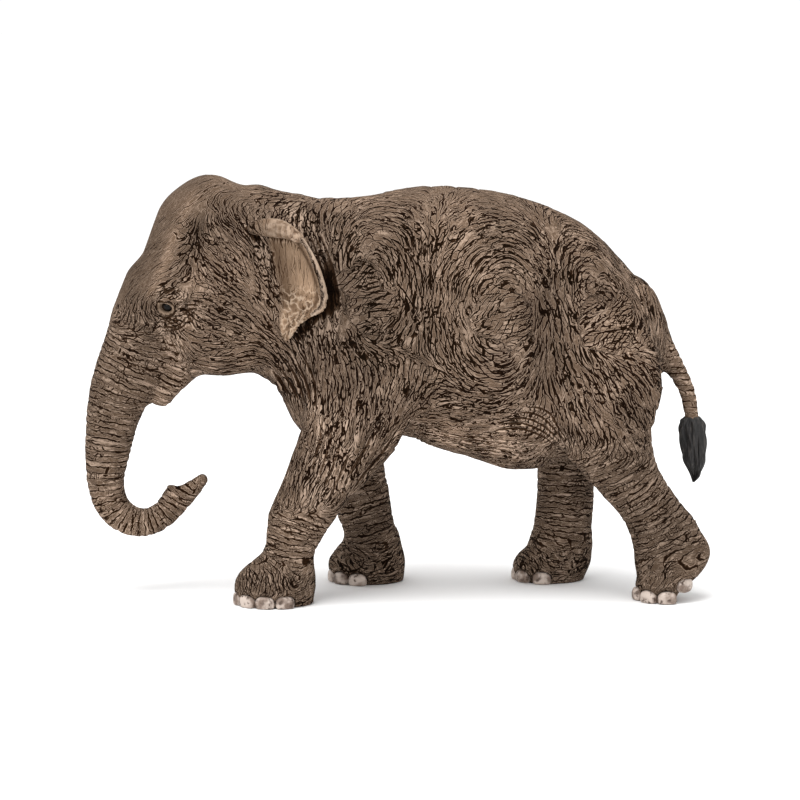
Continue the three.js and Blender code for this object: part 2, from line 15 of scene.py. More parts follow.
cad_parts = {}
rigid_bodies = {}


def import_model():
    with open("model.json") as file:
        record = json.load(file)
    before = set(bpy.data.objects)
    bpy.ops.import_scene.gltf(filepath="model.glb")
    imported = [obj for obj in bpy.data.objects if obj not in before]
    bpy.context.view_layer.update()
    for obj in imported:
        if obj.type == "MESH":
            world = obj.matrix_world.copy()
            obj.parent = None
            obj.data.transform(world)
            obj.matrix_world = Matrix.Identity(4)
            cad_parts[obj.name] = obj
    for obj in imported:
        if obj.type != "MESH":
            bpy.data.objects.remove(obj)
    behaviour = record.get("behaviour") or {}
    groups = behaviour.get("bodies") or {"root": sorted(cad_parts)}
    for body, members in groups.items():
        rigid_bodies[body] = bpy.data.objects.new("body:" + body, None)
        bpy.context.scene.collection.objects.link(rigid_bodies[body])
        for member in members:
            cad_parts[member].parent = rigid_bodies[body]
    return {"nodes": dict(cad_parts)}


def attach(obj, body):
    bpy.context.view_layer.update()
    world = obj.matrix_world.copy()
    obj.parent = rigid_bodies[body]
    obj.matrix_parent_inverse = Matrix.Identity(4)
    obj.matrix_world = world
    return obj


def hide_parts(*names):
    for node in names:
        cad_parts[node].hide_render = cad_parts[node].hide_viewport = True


for leftover in list(bpy.data.objects):
    bpy.data.objects.remove(leftover)
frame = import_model()
bpy.context.view_layer.update()
MM = 0.001  # the shapes below are worked out in millimetres
TINY = 1e-6  # keeps a division from meeting zero

# %% [markdown]
# ## Curves and rounded masses
# A sculptor builds an animal from sausages and balls of clay and smooths them together. The same is
# done here with distances: each shape is a function that gives, for an array of points, how far they
# are outside it. Shapes are then melted together, and the hide is where the melted distance is zero.
# %% Curves through stations
def through(rows, t):
    """Points on the Catmull-Rom curve through rows of numbers, at each t from 0 to 1."""
    rows = np.asarray(rows, float)
    last = len(rows) - 1
    t = np.atleast_1d(np.asarray(t, float)) * last
    i = np.minimum(t.astype(int), last - 1)
    f = (t - i)[:, None]
    a, b, c, d = (rows[np.clip(i + k, 0, last)] for k in (-1, 0, 1, 2))
    bend = (2 * a - 5 * b + 4 * c - d) * f**2 + (3 * b - a - 3 * c + d) * f**3
    return 0.5 * (2 * b + (c - a) * f + bend)


def ramp(x, low, high):
    """0 below low and 1 above high, with a smooth S between them; low may be the larger."""
    t = np.clip((x - low) / (high - low), 0, 1)
    return t * t * (3 - 2 * t)


def unit(v):
    """Each vector divided by its length."""
    v = np.asarray(v, float)
    return v / np.linalg.norm(v, axis=-1, keepdims=True)


def mirror(p):
    """The points with the far side's laid over the near side's: Y becomes its own size."""
    return np.column_stack([p[:, 0], np.abs(p[:, 1]), p[:, 2]])


print("halfway through 0, 1, 4, 9:", through([[0], [1], [4], [9]], 0.5)[0])


# %% Tubes and ellipsoids
def tube(stations, caps=None, steps=12):
    """Distance to a tube with an elliptical section: for the nearest piece of the path, the offset is
    measured in units of the half depth (in the XZ plane) and half width (along Y), and reach minus
    reach divided by that measure is the distance. Stations are x, y, z, half depth, half width."""
    points = through(stations, np.linspace(0, 1, steps + 1))
    a, b = points[:-1], points[1:]
    length = np.linalg.norm(b[:, :3] - a[:, :3], axis=1)
    t = (b[:, :3] - a[:, :3]) / length[:, None]
    side = unit(np.array([0.0, 1.0, 0.0]) - t * t[:, 1:2])
    across = np.cross(side, t)
    cap_a, cap_b = caps or (stations[0][3], stations[-1][3])

    def distance(p):
        best = np.full(len(p), np.inf)
        found = np.full(len(p), np.inf)
        for i in range(steps):
            q = p - a[i, :3]
            s = q @ t[i]
            f = np.clip(s / length[i], 0, 1)
            q = q - (f * length[i])[:, None] * t[i]
            reach = np.sqrt(np.einsum("ij,ij->i", q, q))
            beyond = s - f * length[i]
            cap = np.where(beyond < 0, cap_a if i == 0 else cap_b, cap_b)
            depth = a[i, 3] + (b[i, 3] - a[i, 3]) * f
            width = a[i, 4] + (b[i, 4] - a[i, 4]) * f
            k = np.sqrt((q @ across[i] / depth) ** 2 + (q @ side[i] / width) ** 2 + (beyond / cap) ** 2)
            d = np.where(k > TINY, reach - reach / np.maximum(k, TINY), -np.minimum(depth, width))
            near = reach < best
            best = np.where(near, reach, best)
            found = np.where(near, d, found)
        return found

    radius = np.maximum(points[:, 3], points[:, 4]).max() + 0.5
    reach = max(radius, cap_a, cap_b)
    return distance, points[:, :3].min(0) - reach, points[:, :3].max(0) + reach


def pad(stations):
    """Distance to a pad with level elliptical sections: the section at the point's own height is found,
    and the reach from its middle is compared with its edge there. It ends level at the top."""
    points = through(stations, np.linspace(0, 1, 25))[::-1]

    def distance(p):
        x, y, deep, wide = (np.interp(p[:, 2], points[:, 2], points[:, k]) for k in (0, 1, 3, 4))
        reach = np.hypot(p[:, 0] - x, p[:, 1] - y) + 1e-6
        edge = reach / np.hypot((p[:, 0] - x) / deep, (p[:, 1] - y) / wide)
        return np.maximum(reach - edge, p[:, 2] - points[-1, 2])

    radius = points[:, 3:].max() + 0.5
    return distance, points[:, :3].min(0) - radius, points[:, :3].max(0) + radius


def ellipsoid(centre, radii, pitch=0, yaw=0):
    """Distance to an ellipsoid pitched about Y and then turned about Z, in degrees, measured along
    the ray from its centre."""
    centre, radii = np.array(centre, float), np.array(radii, float)
    turn = Matrix.Rotation(math.radians(yaw), 3, "Z") @ Matrix.Rotation(math.radians(-pitch), 3, "Y")
    axes = np.array(turn.transposed())

    def distance(p):
        q = (p - centre) @ axes.T
        reach = np.sqrt(np.einsum("ij,ij->i", q, q))
        k = np.sqrt(np.einsum("ij,ij->i", q / radii, q / radii))
        return np.where(k > TINY, reach - reach / np.maximum(k, TINY), -radii.min())

    return distance, centre - radii.max(), centre + radii.max()


print("1 mm outside a ball:", ellipsoid([0, 0, 0], [5, 5, 5])[0](np.array([[6.0, 0, 0]]))[0])

# %% Melting masses together
def mass(shape, melt, paired=False, carved=False):
    """A shape with the width over which it melts into the rest, mirrored to both sides or carved."""
    distance, low, high = shape
    return distance, low, high, melt, paired, carved


def smooth_min(a, b, k):
    """The smaller of two distances, with a fillet of width k where they are nearly equal."""
    return np.minimum(a, b) - np.maximum(k - np.abs(a - b), 0) ** 2 / (4 * k)


def melted(masses, p, band=2.0):
    """Distance to all the masses together. Each one is only worked out inside its own box grown by
    its melt and the band, as it can't reach further."""
    d = np.full(len(p), band * 1.5)
    mirrored = mirror(p)
    for distance, low, high, melt, paired, carved in masses:
        q = mirrored if paired else p
        grown = melt + band
        inside = np.flatnonzero(np.all((q > low - grown) & (q < high + grown), axis=1))
        if not len(inside):
            continue
        e = distance(q[inside])
        d[inside] = -smooth_min(-d[inside], e, melt) if carved else smooth_min(d[inside], e, melt)
    return d


print("two surfaces 1 mm away melt to:", round(float(smooth_min(1.0, 1.0, 2.0)), 2), "mm")

# %% [markdown]
# ## The body's clay
# The packed solids are made of the same masses, apart from the feet: barrel, neck, girdles, skull, trunk,
# legs and tail. Their numbers are millimetres. `both` masses are on the two sides, and `hollow` ones are
# pressed in with a thumb.
# %% Barrel, neck and girdles
both, hollow = {"paired": True}, {"paired": True, "carved": True}
SPINE = 60.0
barrel_path = [
    [-15, 0, SPINE + 1.2, 22.2, 15.5], [-4, 0, SPINE + 0.6, 25.6, 18.5],
    [8, 0, SPINE + 0.3, 27.6, 21.2], [20, 0, SPINE - 2.6, 28.4, 22],
    [32, 0, SPINE - 6.8, 26.6, 20], [43, 0, SPINE - 11, 20.9, 15.5],
]
neck_path = [[-33, 0, 69, 17.6, 11.5], [-24, 0, 66.8, 18.4, 13], [-12, 0, 61.4, 21, 15.5]]
body = [
    mass(tube(barrel_path, (9, 13.2), 20), 1),
    mass(tube(neck_path, (5, 8)), 8),
    mass(ellipsoid([-13.8, 0, 43], [9.6, 11, 11]), 5),  # brisket
    mass(ellipsoid([27, 0, 42], [13, 13.5, 15]), 5),  # groin
    mass(ellipsoid([-9, 12.5, 60], [9.5, 6.5, 19], -8), 7, **both),  # shoulder blade
    mass(ellipsoid([38, 11, 68], [6.5, 5, 6.5], 30), 7, **both),  # point of the hip
    mass(ellipsoid([33, 19.5, 60], [3.5, 3.4, 12], -6), 6, **hollow),  # sunk flank before the hip
    mass(ellipsoid([4, 22.5, 74], [9, 4, 6]), 8, **hollow),  # behind the shoulder
]
print("body masses:", len(body), "with the spine at", SPINE, "mm")

# %% Head and trunk
face_path = [
    [-43.6, 0, 79.2, 8.1, 8], [-46, 0, 73.6, 7.9, 9.6], [-49, 0, 67, 7.6, 9.8], [-52.2, 0, 60, 7.6, 8.8],
]
jaw_path = [[-31, 0, 59, 8.8, 9], [-40, 0, 54.6, 7.4, 8.4], [-45.8, 0, 51.4, 4.2, 5.6]]
lip_path = [[-45.2, 0, 50.4, 3.8, 4.6], [-48.3, 0, 46.4, 2.8, 3.5], [-50.7, 0, 43.1, 2.4, 2.6]]
trunk_path = [
    [-50.6, 0, 65.5, 8.1, 9.3], [-53.2, 0, 60, 7.7, 8.7], [-55.5, 0, 54.2, 7.5, 8],
    [-57.8, 0, 49, 7.1, 7.4], [-59.8, 0, 44.2, 6.5, 6.8], [-61.6, 0, 37.8, 5.6, 5.9],
    [-62.6, 0, 31, 4.85, 5.2], [-63.1, 0, 25, 4.1, 4.6], [-62, 0, 19.8, 3.65, 4.1],
    [-59, 0, 16.5, 3.3, 3.7], [-54.8, 0, 15.5, 3, 3.4], [-50.6, 0, 17.3, 2.85, 3.2],
    [-47.4, 0, 21.6, 3.1, 3.1],
]
finger_path = [[-48, 0, 19.8, 2.4, 2.4], [-45.1, 0, 22.2, 2, 2], [-42.5, 0, 24.6, 1.3, 1.5]]
head = [
    mass(ellipsoid([-37.3, 0, 75], [12.1, 12, 13]), 5),
    mass(ellipsoid([-40.6, 4.3, 82.3], [6.8, 5.6, 7.5]), 3.5, **both),  # twin domes of the crown
    mass(tube(face_path), 4),
    mass(ellipsoid([-38, 7.6, 60.5], [11.5, 6.2, 11.5], -20), 5, **both),  # cheek
    mass(ellipsoid([-48.3, 9, 65.4], [4.4, 2.6, 3.6], -20), 3, **both),  # around the eye
    mass(ellipsoid([-42, 14.6, 73.5], [6.5, 3, 5.5], -25), 5, **hollow),  # temple
    mass(tube(jaw_path), 4),
    mass(tube(lip_path), 1.2),
    mass(tube(trunk_path, (6, 1.3), 40), 3),
    mass(tube(finger_path), 1.2),
]
print("head masses:", len(head), "and the trunk has", len(trunk_path), "stations")

# %% [markdown]
# ## Legs and feet
# An elephant stands on round pads, wider than the leg above them. A leg is a tube, but a tilted tube would
# leave a ledge over the toes, so a foot's sections are level. `at`, `deep` and `wide` are the ellipse that
# the nails stand on, `toes` their angles from where the foot is `heading`, `rising` how far a raised sole
# climbs for each millimetre towards the tail, and `ringed` the heights between which rings take over.
# %% Legs, feet and tail
FRONT_NAILS, HIND_NAILS = (-66, -33, 0, 33, 66), (-60, -20, 20, 60)
legs = {
    "front_left": dict(
        leg=[[-7, -12.6, 50, 12.6, 7.4], [-10.6, -13, 38, 10.5, 7.2], [-15.6, -13, 29.4, 8.3, 6.9],
             [-19.3, -12.8, 23, 6.9, 6.4], [-22.4, -12.4, 17, 6.4, 6], [-23.7, -12.5, 12.4, 5.3, 5.7],
             [-24.4, -12.5, 9, 5.3, 5.8]],
        foot=[[-24.2, -12.5, 11, 4.9, 5.5], [-25.6, -12.5, 8.9, 6.5, 6.4], [-26.6, -12.5, 6.5, 8, 7.3],
              [-27, -12.5, 3.8, 8.6, 7.7], [-27.1, -12.5, -1, 8, 6]],
        at=(-27.4, -12.5), deep=8.2, wide=7.6, toes=FRONT_NAILS, heading=42, rising=0, ringed=(24, 17)),
    "front_right": dict(
        leg=[[-9, 12.6, 50, 10.4, 7.4], [-9.6, 13, 38, 8, 7.2], [-9.6, 13, 28, 6.8, 6.6],
             [-7.7, 12.6, 18.5, 6.3, 6.1], [-5.9, 12.2, 12, 5.6, 5.7], [-5.2, 12.5, 9, 5.8, 5.8]],
        foot=[[-5.2, 12.5, 11, 5.3, 5.5], [-5.5, 12.5, 9, 6.1, 6.2], [-6.1, 12.5, 6.1, 7.8, 7.3],
              [-6.4, 12.5, 3.6, 8.4, 7.7], [-6.3, 12.5, -1, 7.7, 6]],
        at=(-6.4, 12.5), deep=8.2, wide=7.6, toes=FRONT_NAILS, heading=6, rising=0, ringed=(44, 36)),
    "hind_left": dict(
        leg=[[36.6, -10.6, 57, 15, 8.5], [41.5, -12.2, 46.5, 14.4, 9], [43.8, -12.8, 35.5, 10, 8.3],
             [47.9, -12.6, 27, 6.9, 7.2], [52.4, -12.2, 20.4, 6, 6.4], [56, -11.8, 14.4, 7, 6.2]],
        foot=[[56, -11.8, 16.5, 6.4, 6.1], [57.4, -11.8, 13.2, 7.6, 6.6], [57.9, -11.8, 10.5, 8.1, 7],
              [57.7, -11.8, 8.2, 7.9, 7.2], [56.9, -11.8, 5, 6.5, 7.1], [54.9, -11.8, 2, 4.4, 6.6],
              [54.7, -11.8, -2, 3.4, 5.6]],
        at=(56.3, -11.8), deep=6.6, wide=7.2, toes=HIND_NAILS, heading=68, rising=0.7, ringed=(37, 28)),
    "hind_right": dict(
        leg=[[36.6, 10.6, 57, 15, 8.5], [38.4, 12.2, 46, 12.6, 8.8], [38.4, 12.8, 35, 8.6, 8],
             [37.4, 12.4, 25, 6.4, 6.8], [37.1, 12, 16.5, 6.3, 6.2], [36.4, 11.8, 9.5, 6.5, 6.2]],
        foot=[[36.5, 11.8, 10, 6.3, 6.1], [35.6, 11.8, 6.6, 7.4, 6.9], [34.3, 11.8, 3.6, 8.5, 7.4],
              [33.6, 11.8, -1, 7.2, 6]],
        at=(33.8, 11.8), deep=8, wide=7.3, toes=HIND_NAILS, heading=12, rising=0, ringed=(44, 36)),
}
tail_path = [
    [54, 0, 56.6, 3.4, 3], [57.3, 0, 51.8, 2.6, 2.5], [60.4, 0, 47, 2, 2],
    [62.4, 0, 42.6, 1.7, 1.7], [63.2, 0, 38.6, 1.5, 1.5], [63.5, 0, 35.8, 1.4, 1.4],
]
limbs = [m for leg in legs.values() for m in (mass(tube(leg["leg"]), 3), mass(pad(leg["foot"]), 1.5))]
tail = [mass(tube(tail_path, (3, 1)), 2.5)]
print("legs:", *legs)


# %% Toes and nail beds
def nail_places(leg):
    """Where a foot's nails stand: on an ellipse round the pad, at each toe's angle from the way the
    foot heads, with the height that the raised sole gives there and the turn about Z in degrees."""
    for angle in leg["toes"]:
        turn = math.radians(180 + angle + leg["heading"])
        out = np.array([math.cos(turn), math.sin(turn)])
        height = leg["rising"] * max(0, out[0] * leg["deep"])
        yield out, height, math.degrees(turn)


NAIL = dict(thick=1.15, wide=2.05, tall=1.7, rise=1.05, sunk=0.7)  # half sizes, middle's height, depth
NAIL_GAP = np.array([0.16, 0.2, 0.2])  # how much larger its bed is
TOE = dict(radii=[2.1, 2.5, 3.0], behind=2.75, height=3.0)
toes = []
for leg in legs.values():
    radii = np.array([leg["deep"], leg["wide"]])
    for out, height, turn in nail_places(leg):
        at = leg["at"] + out * (radii - NAIL["sunk"])
        back = leg["at"] + out * (radii - TOE["behind"])
        toes.append(mass(ellipsoid([*back, TOE["height"] + height], TOE["radii"], 0, turn), 1.6))
        bed_radii = NAIL_GAP + [NAIL["thick"], NAIL["wide"], NAIL["tall"]]
        toes.append(mass(ellipsoid([*at, NAIL["rise"] + height], bed_radii, 0, turn), 0.3, carved=True))
print("toes:", len(toes) // 2)

# %% [markdown]
# ## Ears
# The ear is a thin sheet that leaves the head, bows back towards the neck and ends in a curled rim. A
# tube can't be that thin and wide, so the sheet gets a distance of its own: how far a point is from its
# middle, kept within an outline. The fold at its top and the rim are tubes that melt into it.
# %% The ear's rows and outline
ear_rows = [  # height, root x, root y, edge x, edge y
    [84, -31, 12.2, -28, 13.2], [82.1, -30.8, 12.4, -27.2, 13.8], [81.2, -30.4, 12.8, -23.4, 16.2],
    [78.2, -29.8, 13.2, -20.6, 18.6], [74, -29, 13.6, -18.2, 20.2], [69.4, -28.2, 14, -16.5, 21],
    [65.6, -27.6, 14.2, -16.3, 20.8], [62.8, -27, 14, -18.2, 19.4], [60.6, -26.6, 14, -21.5, 17.4],
    [58.4, -26.2, 14.2, -23.3, 16.2], [56.8, -25.2, 14.6, -24.2, 15.2], [55.5, -25, 14.7, -24.4, 15.2],
]
ear_outline = [  # x and height, from the top of the root round the rim to the bottom of the root
    [-31.6, 81.2], [-28.4, 82], [-25, 81.6], [-22.1, 80.2], [-19.6, 76.6], [-17.6, 72.6],
    [-16.4, 68.4], [-16.3, 65.6], [-17.1, 63.5], [-19.4, 62.2], [-21.8, 60.3], [-23.4, 57.9],
    [-24.4, 56.7], [-25.9, 57.6], [-27.4, 61], [-29.4, 64], [-31, 70], [-32, 77],
]
EAR = dict(thick=1.25, bow=1.7, broad=9.0)  # the sheet, its bow, and how wide it is where it bows fully
EAR_BOX = np.array([-33.0, 7, 55]), np.array([-15.0, 25, 84.5])


def signed_to_outline(points, outline):
    """Distance from 2-D points to a closed outline, negative inside: the nearest side's distance, with
    a point inside where the sides cross its level an odd number of times."""
    best = np.full(len(points), np.inf)
    odd = np.zeros(len(points), bool)
    for a, b in zip(outline, np.roll(outline, -1, axis=0)):
        ab, ap = b - a, points - a
        f = np.clip(ap @ ab / (ab @ ab), 0, 1)
        best = np.minimum(best, np.linalg.norm(ap - f[:, None] * ab, axis=1))
        crosses = (a[1] > points[:, 1]) != (b[1] > points[:, 1])
        with np.errstate(divide="ignore", invalid="ignore"):
            at = a[0] + (points[:, 1] - a[1]) / (b[1] - a[1]) * ab[0]
        odd ^= crosses & (points[:, 0] < at)
    return np.where(odd, -best, best)


ear_row_curve = through(ear_rows, np.linspace(0, 1, 121))[::-1]
ear_edge = through(ear_outline + ear_outline[:1], np.linspace(0, 1, 109))[:-1]
print("ear: from height", ear_row_curve[0, 0], "to", ear_row_curve[-1, 0], "mm")


# %% The ear's distance
def ear_sheet(p):
    """Where the middle of the ear's sheet is (Y) over each point's x and height: straight from the root to
    the edge of its row, bowed towards the neck by a sine, with its first third diving into the head. Also
    the share u of the way from the root to the edge."""
    rx, ry, ex, ey = (np.interp(p[:, 2], ear_row_curve[:, 0], ear_row_curve[:, k]) for k in (1, 2, 3, 4))
    u = np.clip((p[:, 0] - rx) / np.maximum(ex - rx, 0.5), -0.4, 1.15)
    span = np.hypot(ex - rx, ey - ry)
    bow = EAR["bow"] * np.sin(np.pi * np.clip(u, 0, 1)) * np.minimum(1, span / EAR["broad"])
    dive = 9.0 * np.maximum(0.3 - u, 0) ** 1.5
    return ry + (ey - ry) * u - bow - dive, u


def ear_distance(p):
    """Distance to the ear: the larger of the distance from its sheet, less half its thickness, and the
    distance outside its outline, rounded where the two meet. The sheet thins inside a curled rim."""
    sheet, u = ear_sheet(p)
    edge = signed_to_outline(p[:, [0, 2]], ear_edge)
    free = ramp(u, 0.35, 0.55)
    curl = 1.1 * np.exp(-(((edge + 0.3) / 0.85) ** 2)) * free
    off = (p[:, 1] - sheet - curl) * 0.87
    thick = EAR["thick"] - 0.45 * np.exp(-(((edge + 1.9) / 0.7) ** 2)) * free
    return -smooth_min(-(np.abs(off) - thick / 2), -edge * 0.9, 0.6)


ear_fold_path = [
    [-31.6, 12.6, 80, 1.3, 1.1], [-29.2, 14.7, 80.4, 1.9, 1.35], [-26.2, 16.9, 80.4, 2, 1.35],
    [-23.8, 18.7, 79.7, 1.5, 1.15], [-22.2, 19.9, 78.5, 0.9, 0.8],
]
ear_rim_path = [
    [-23.2, 19.4, 79.9, 0.6, 0.6], [-21.2, 20.3, 77.9, 0.55, 0.55], [-19.5, 21, 75, 0.6, 0.6],
    [-18.2, 21.5, 71.8, 0.65, 0.6], [-17.2, 21.8, 68.6, 0.7, 0.65], [-17, 21.6, 66, 0.7, 0.65],
    [-17.6, 21.1, 64.2, 0.6, 0.55], [-19.2, 20.1, 62.9, 0.35, 0.35],
]
ears = [
    mass((ear_distance, *EAR_BOX), 0.9, **both),
    mass(tube(ear_fold_path, (0.8, 0.8), 16), 0.35, **both),
    mass(tube(ear_rim_path, (0.4, 0.4), 28), 0.3, **both),
]
middle_of_ear = np.array([[-22.0, 0, 70]])
print("the ear's middle stands", round(float(ear_sheet(middle_of_ear)[0][0]), 1), "mm out")

# %% [markdown]
# ## Eyelids
# The eye sits in a slit with a thick rim. The slit is an ellipsoid pressed into the skin, and the rim a
# ring-shaped tube round it. Both are laid out on the eye's own axes: out of the head, up, and back.
# %% Eyelids
EYE = dict(at=np.array([-49.75, 11.55, 63.2]), out=unit([-0.33, 0.92, -0.15]), radius=1.6)
EYE.update(long=1.45, tall=0.98, deep=1.4)  # the slit's half sizes
EYE["up"] = unit(np.cross(EYE["out"], np.cross([0.22, 0, 0.97], EYE["out"])))
EYE["back"] = np.cross(EYE["up"], EYE["out"]) * np.sign(np.cross(EYE["up"], EYE["out"])[0])
lid_turn = np.linspace(0, 2 * np.pi, 13)
LID = dict(outside=0.35, thick=0.42)  # how far the rim's middle is outside the slit, and its radius
lid_path = []
for a in lid_turn:
    sideways = EYE["back"] * (EYE["long"] + LID["outside"]) * np.cos(a)
    upwards = EYE["up"] * (EYE["tall"] + LID["outside"]) * np.sin(a)
    at = EYE["at"] + sideways + upwards + EYE["out"] * (0.12 - 0.4 * np.cos(a) ** 2)
    lid_path.append([*at, LID["thick"], LID["thick"]])


def opening(p):
    """Distance to the slit between the lids: an ellipsoid on the eye's own three axes."""
    axes = np.array([EYE["back"], EYE["up"], EYE["out"]])
    q = (p - EYE["at"]) @ axes.T / [EYE["long"], EYE["tall"], EYE["deep"]]
    return (np.linalg.norm(q, axis=1) - 1) * EYE["tall"]


eyelids = [
    mass(tube(lid_path, (0.3, 0.3), 24), 0.35, **both),
    mass((opening, EYE["at"] - 2.2, EYE["at"] + 2.2), 0.2, **hollow),
]
print("slit of the eye:", 2 * EYE["long"], "by", 2 * EYE["tall"], "mm")


# %% The hide's field
SOLE_EDGE = 0.3  # mm of rounding round the soles


def hide(p, band=2.0):
    """Distance to the whole hide, cut off level at the soles."""
    d = melted([*body, *head, *limbs, *tail, *ears, *toes, *eyelids], p, band)
    return -smooth_min(-d, p[:, 2], SOLE_EDGE)


print("inside the belly the field is below zero:", hide(np.array([[10.0, 0, 40.0]])) < 0)

# %% [markdown]
# ## From a field to a mesh
# The field is sampled on a cubic grid, finely only near the surface. Each cell that the surface crosses
# gets one vertex, and each grid edge that it crosses gets one face round it. This method is called
# surface nets, and it gives even, soft-edged faces with no seams, which suits a moulded skin.
# %% Sampling near the surface
HALVINGS = 3


def sampled(field, low, high, cell):
    """The field at the middles of cubic cells. Large blocks are halved step by step, and only those whose
    middle is within a few of their own sizes of the surface are worked out again."""
    size = cell * 2**HALVINGS
    count = np.ceil((np.array(high) - low) / size).astype(int)
    value = None
    for level in range(HALVINGS + 1):
        step = size / 2**level
        if level:
            near = np.abs(value) < 1.5 * 2 * step + step
            for axis in range(3):
                value, near = np.repeat(value, 2, axis), np.repeat(near, 2, axis)
        else:
            value = np.zeros(count, np.float32)
            near = np.ones(count, bool)
        at = np.argwhere(near)
        value[near] = field(low + (at + 0.5) * step, band=3.2 * step + 1)
    return value, np.array(low) + 0.5 * cell


print("blocks are halved", HALVINGS, "times")

# %% Surface nets
def surface_nets(value, origin, cell):
    """Vertices and quads of the zero surface of a sampled field."""
    inside = value < 0
    corners = np.array([[(n >> k) & 1 for k in range(3)] for n in range(8)])
    shape = np.array(value.shape) - 1

    def corner(array, c):
        return array[tuple(slice(c[k], c[k] + shape[k]) for k in range(3))]

    count = sum(corner(inside, c).astype(np.int8) for c in corners)
    active = (count > 0) & (count < 8)
    cells = np.argwhere(active)
    number = np.full(active.shape, -1, np.int32)
    number[active] = np.arange(len(cells))
    at = [value[tuple((cells + c).T)] for c in corners]
    total, crossings = np.zeros((len(cells), 3)), np.zeros(len(cells))
    for m in range(8):
        for n in range(m + 1, 8):
            if np.abs(corners[m] - corners[n]).sum() != 1:
                continue
            cut = (at[m] < 0) != (at[n] < 0)
            f = np.where(cut, at[m] / np.where(cut, at[m] - at[n], 1), 0)[:, None]
            total += np.where(cut[:, None], corners[m] + (corners[n] - corners[m]) * f, 0)
            crossings += cut
    vertices = origin + (cells + total / crossings[:, None]) * cell
    faces = []
    for axis in range(3):
        u, v = (axis + 1) % 3, (axis + 2) % 3
        first = [slice(1, -1)] * 3
        second = [slice(1, -1)] * 3
        first[axis], second[axis] = slice(0, -1), slice(1, None)
        a, b = inside[tuple(first)], inside[tuple(second)]
        base = np.argwhere(a != b) + [0 if k == axis else 1 for k in range(3)]
        ring = []
        for du, dv in ((-1, -1), (0, -1), (0, 0), (-1, 0)):
            c = base.copy()
            c[:, u] += du
            c[:, v] += dv
            ring.append(number[tuple(c.T)])
        quads = np.stack(ring, 1)
        outwards = inside[tuple(base.T)]
        quads[~outwards] = quads[~outwards][:, ::-1]
        faces.append(quads)
    return vertices, np.concatenate(faces)


def onto(field, p, cell):
    """Moves points onto the zero surface by two of Newton's steps along the field's slope, and no
    further than 0.7 of a cell."""
    start, h = p.copy(), 0.02
    for _ in range(2):
        d = field(p)
        slope = np.stack([(field(p + h * e) - d) / h for e in np.eye(3)], 1)
        p = p - slope * (d / np.maximum((slope**2).sum(1), 0.1))[:, None]
    move = p - start
    far = np.linalg.norm(move, axis=1, keepdims=True)
    return start + move * np.minimum(1, 0.7 * cell / np.maximum(far, 1e-9))


moved = onto(ellipsoid([0, 0, 0], [5, 5, 5])[0], np.array([[5.3, 0, 0]]), 1.0)
print("a point moved onto a ball of radius 5 is", round(float(np.linalg.norm(moved)), 3), "from its middle")

# %% The skin's surface
CELL = 0.42
HIDE_BOX = [-71.0, -25.0, -1.5], [70.0, 25.0, 94.0]
value, origin = sampled(hide, *HIDE_BOX, CELL)
skin_at, skin_faces = surface_nets(value, origin, CELL)
skin_at = onto(hide, skin_at, CELL)
print("skin:", len(skin_at), "vertices", len(skin_faces), "quads")

# %% [markdown]
# ## The lie of the creases
# Real creases aren't scattered. They run in whorls round the shoulder, flank, hip and eye, straight down
# the thigh and the upper arm, and in rings round the trunk, legs and tail. So every vertex gets a combing
# direction in its own tangent plane, as fur would have. Whorls that are neighbours turn opposite ways,
# like gears, and so they agree along the line where they meet. In a whorl's middle strokes cross freely.
# %% Smooth noise
NOISE_SLOPES = unit(np.random.default_rng(7).normal(size=(256, 3)))


def scrambled(cell, seed):
    """A number from 0 to 255 for each row of three whole numbers, mixed by multiplying and shifting."""
    h = (cell[:, 0] * 73856093) ^ (cell[:, 1] * 19349663) ^ (cell[:, 2] * 83492791)
    h = h ^ (seed * 2654435761)
    h = ((h ^ (h >> 13)) * 1540483477) & 0xFFFFFFFF
    return (h ^ (h >> 15)) & 255


def gradient_noise(p, seed=0):
    """Perlin's noise: at each corner of the point's unit cube a random slope is taken from a table, and
    the eight slopes' heights are blended by an S curve."""
    cell = np.floor(p).astype(np.int64)
    f = p - cell
    s = f * f * f * (f * (f * 6 - 15) + 10)
    total = np.zeros(len(p))
    for corner in np.ndindex(2, 2, 2):
        weight = np.prod(np.where(corner, s, 1 - s), axis=1)
        total += weight * np.einsum("ij,ij->i", NOISE_SLOPES[scrambled(cell + corner, seed)], f - corner)
    return total * 1.5


print("noise along a line:", np.round(gradient_noise(np.linspace([0, 0, 0], [2, 1, 3], 5)), 2))


# %% Normals and paths
def normals_of(vertices, faces):
    """Each vertex's normal: the sum of its faces' cross products, made one long."""
    across = vertices[faces[:, 2]] - vertices[faces[:, 0]]
    up = vertices[faces[:, 3]] - vertices[faces[:, 1]]
    face_normals = np.cross(across, up)
    total = np.zeros_like(vertices)
    for k in range(4):
        for axis in range(3):
            total[:, axis] += np.bincount(faces[:, k], face_normals[:, axis], len(vertices))
    return unit(total)


def along_path(p, path, steps=60):
    """For each point, the length along a path to its nearest place, how far the point is from that place,
    and the path's direction there. The length runs on for 8 mm past each end."""
    points = through(path, np.linspace(0, 1, steps + 1))[:, :3]
    a, ab = points[:-1], np.diff(points, axis=0)
    length = np.linalg.norm(ab, axis=1)
    start = np.concatenate([[0], np.cumsum(length)[:-1]])
    best, run, heading = np.full(len(p), np.inf), np.zeros(len(p)), np.zeros(len(p), int)
    for i in range(steps):
        q = p - a[i]
        s = q @ ab[i] / length[i]
        f = np.clip(s, -8 if i == 0 else 0, length[i] + (8 if i == steps - 1 else 0))
        reach = np.linalg.norm(q - np.clip(s, 0, length[i])[:, None] * ab[i] / length[i], axis=1)
        near = reach < best
        best, heading = np.where(near, reach, best), np.where(near, i, heading)
        run = np.where(near, start[i] + f, run)
    return run, best, unit(ab)[heading]


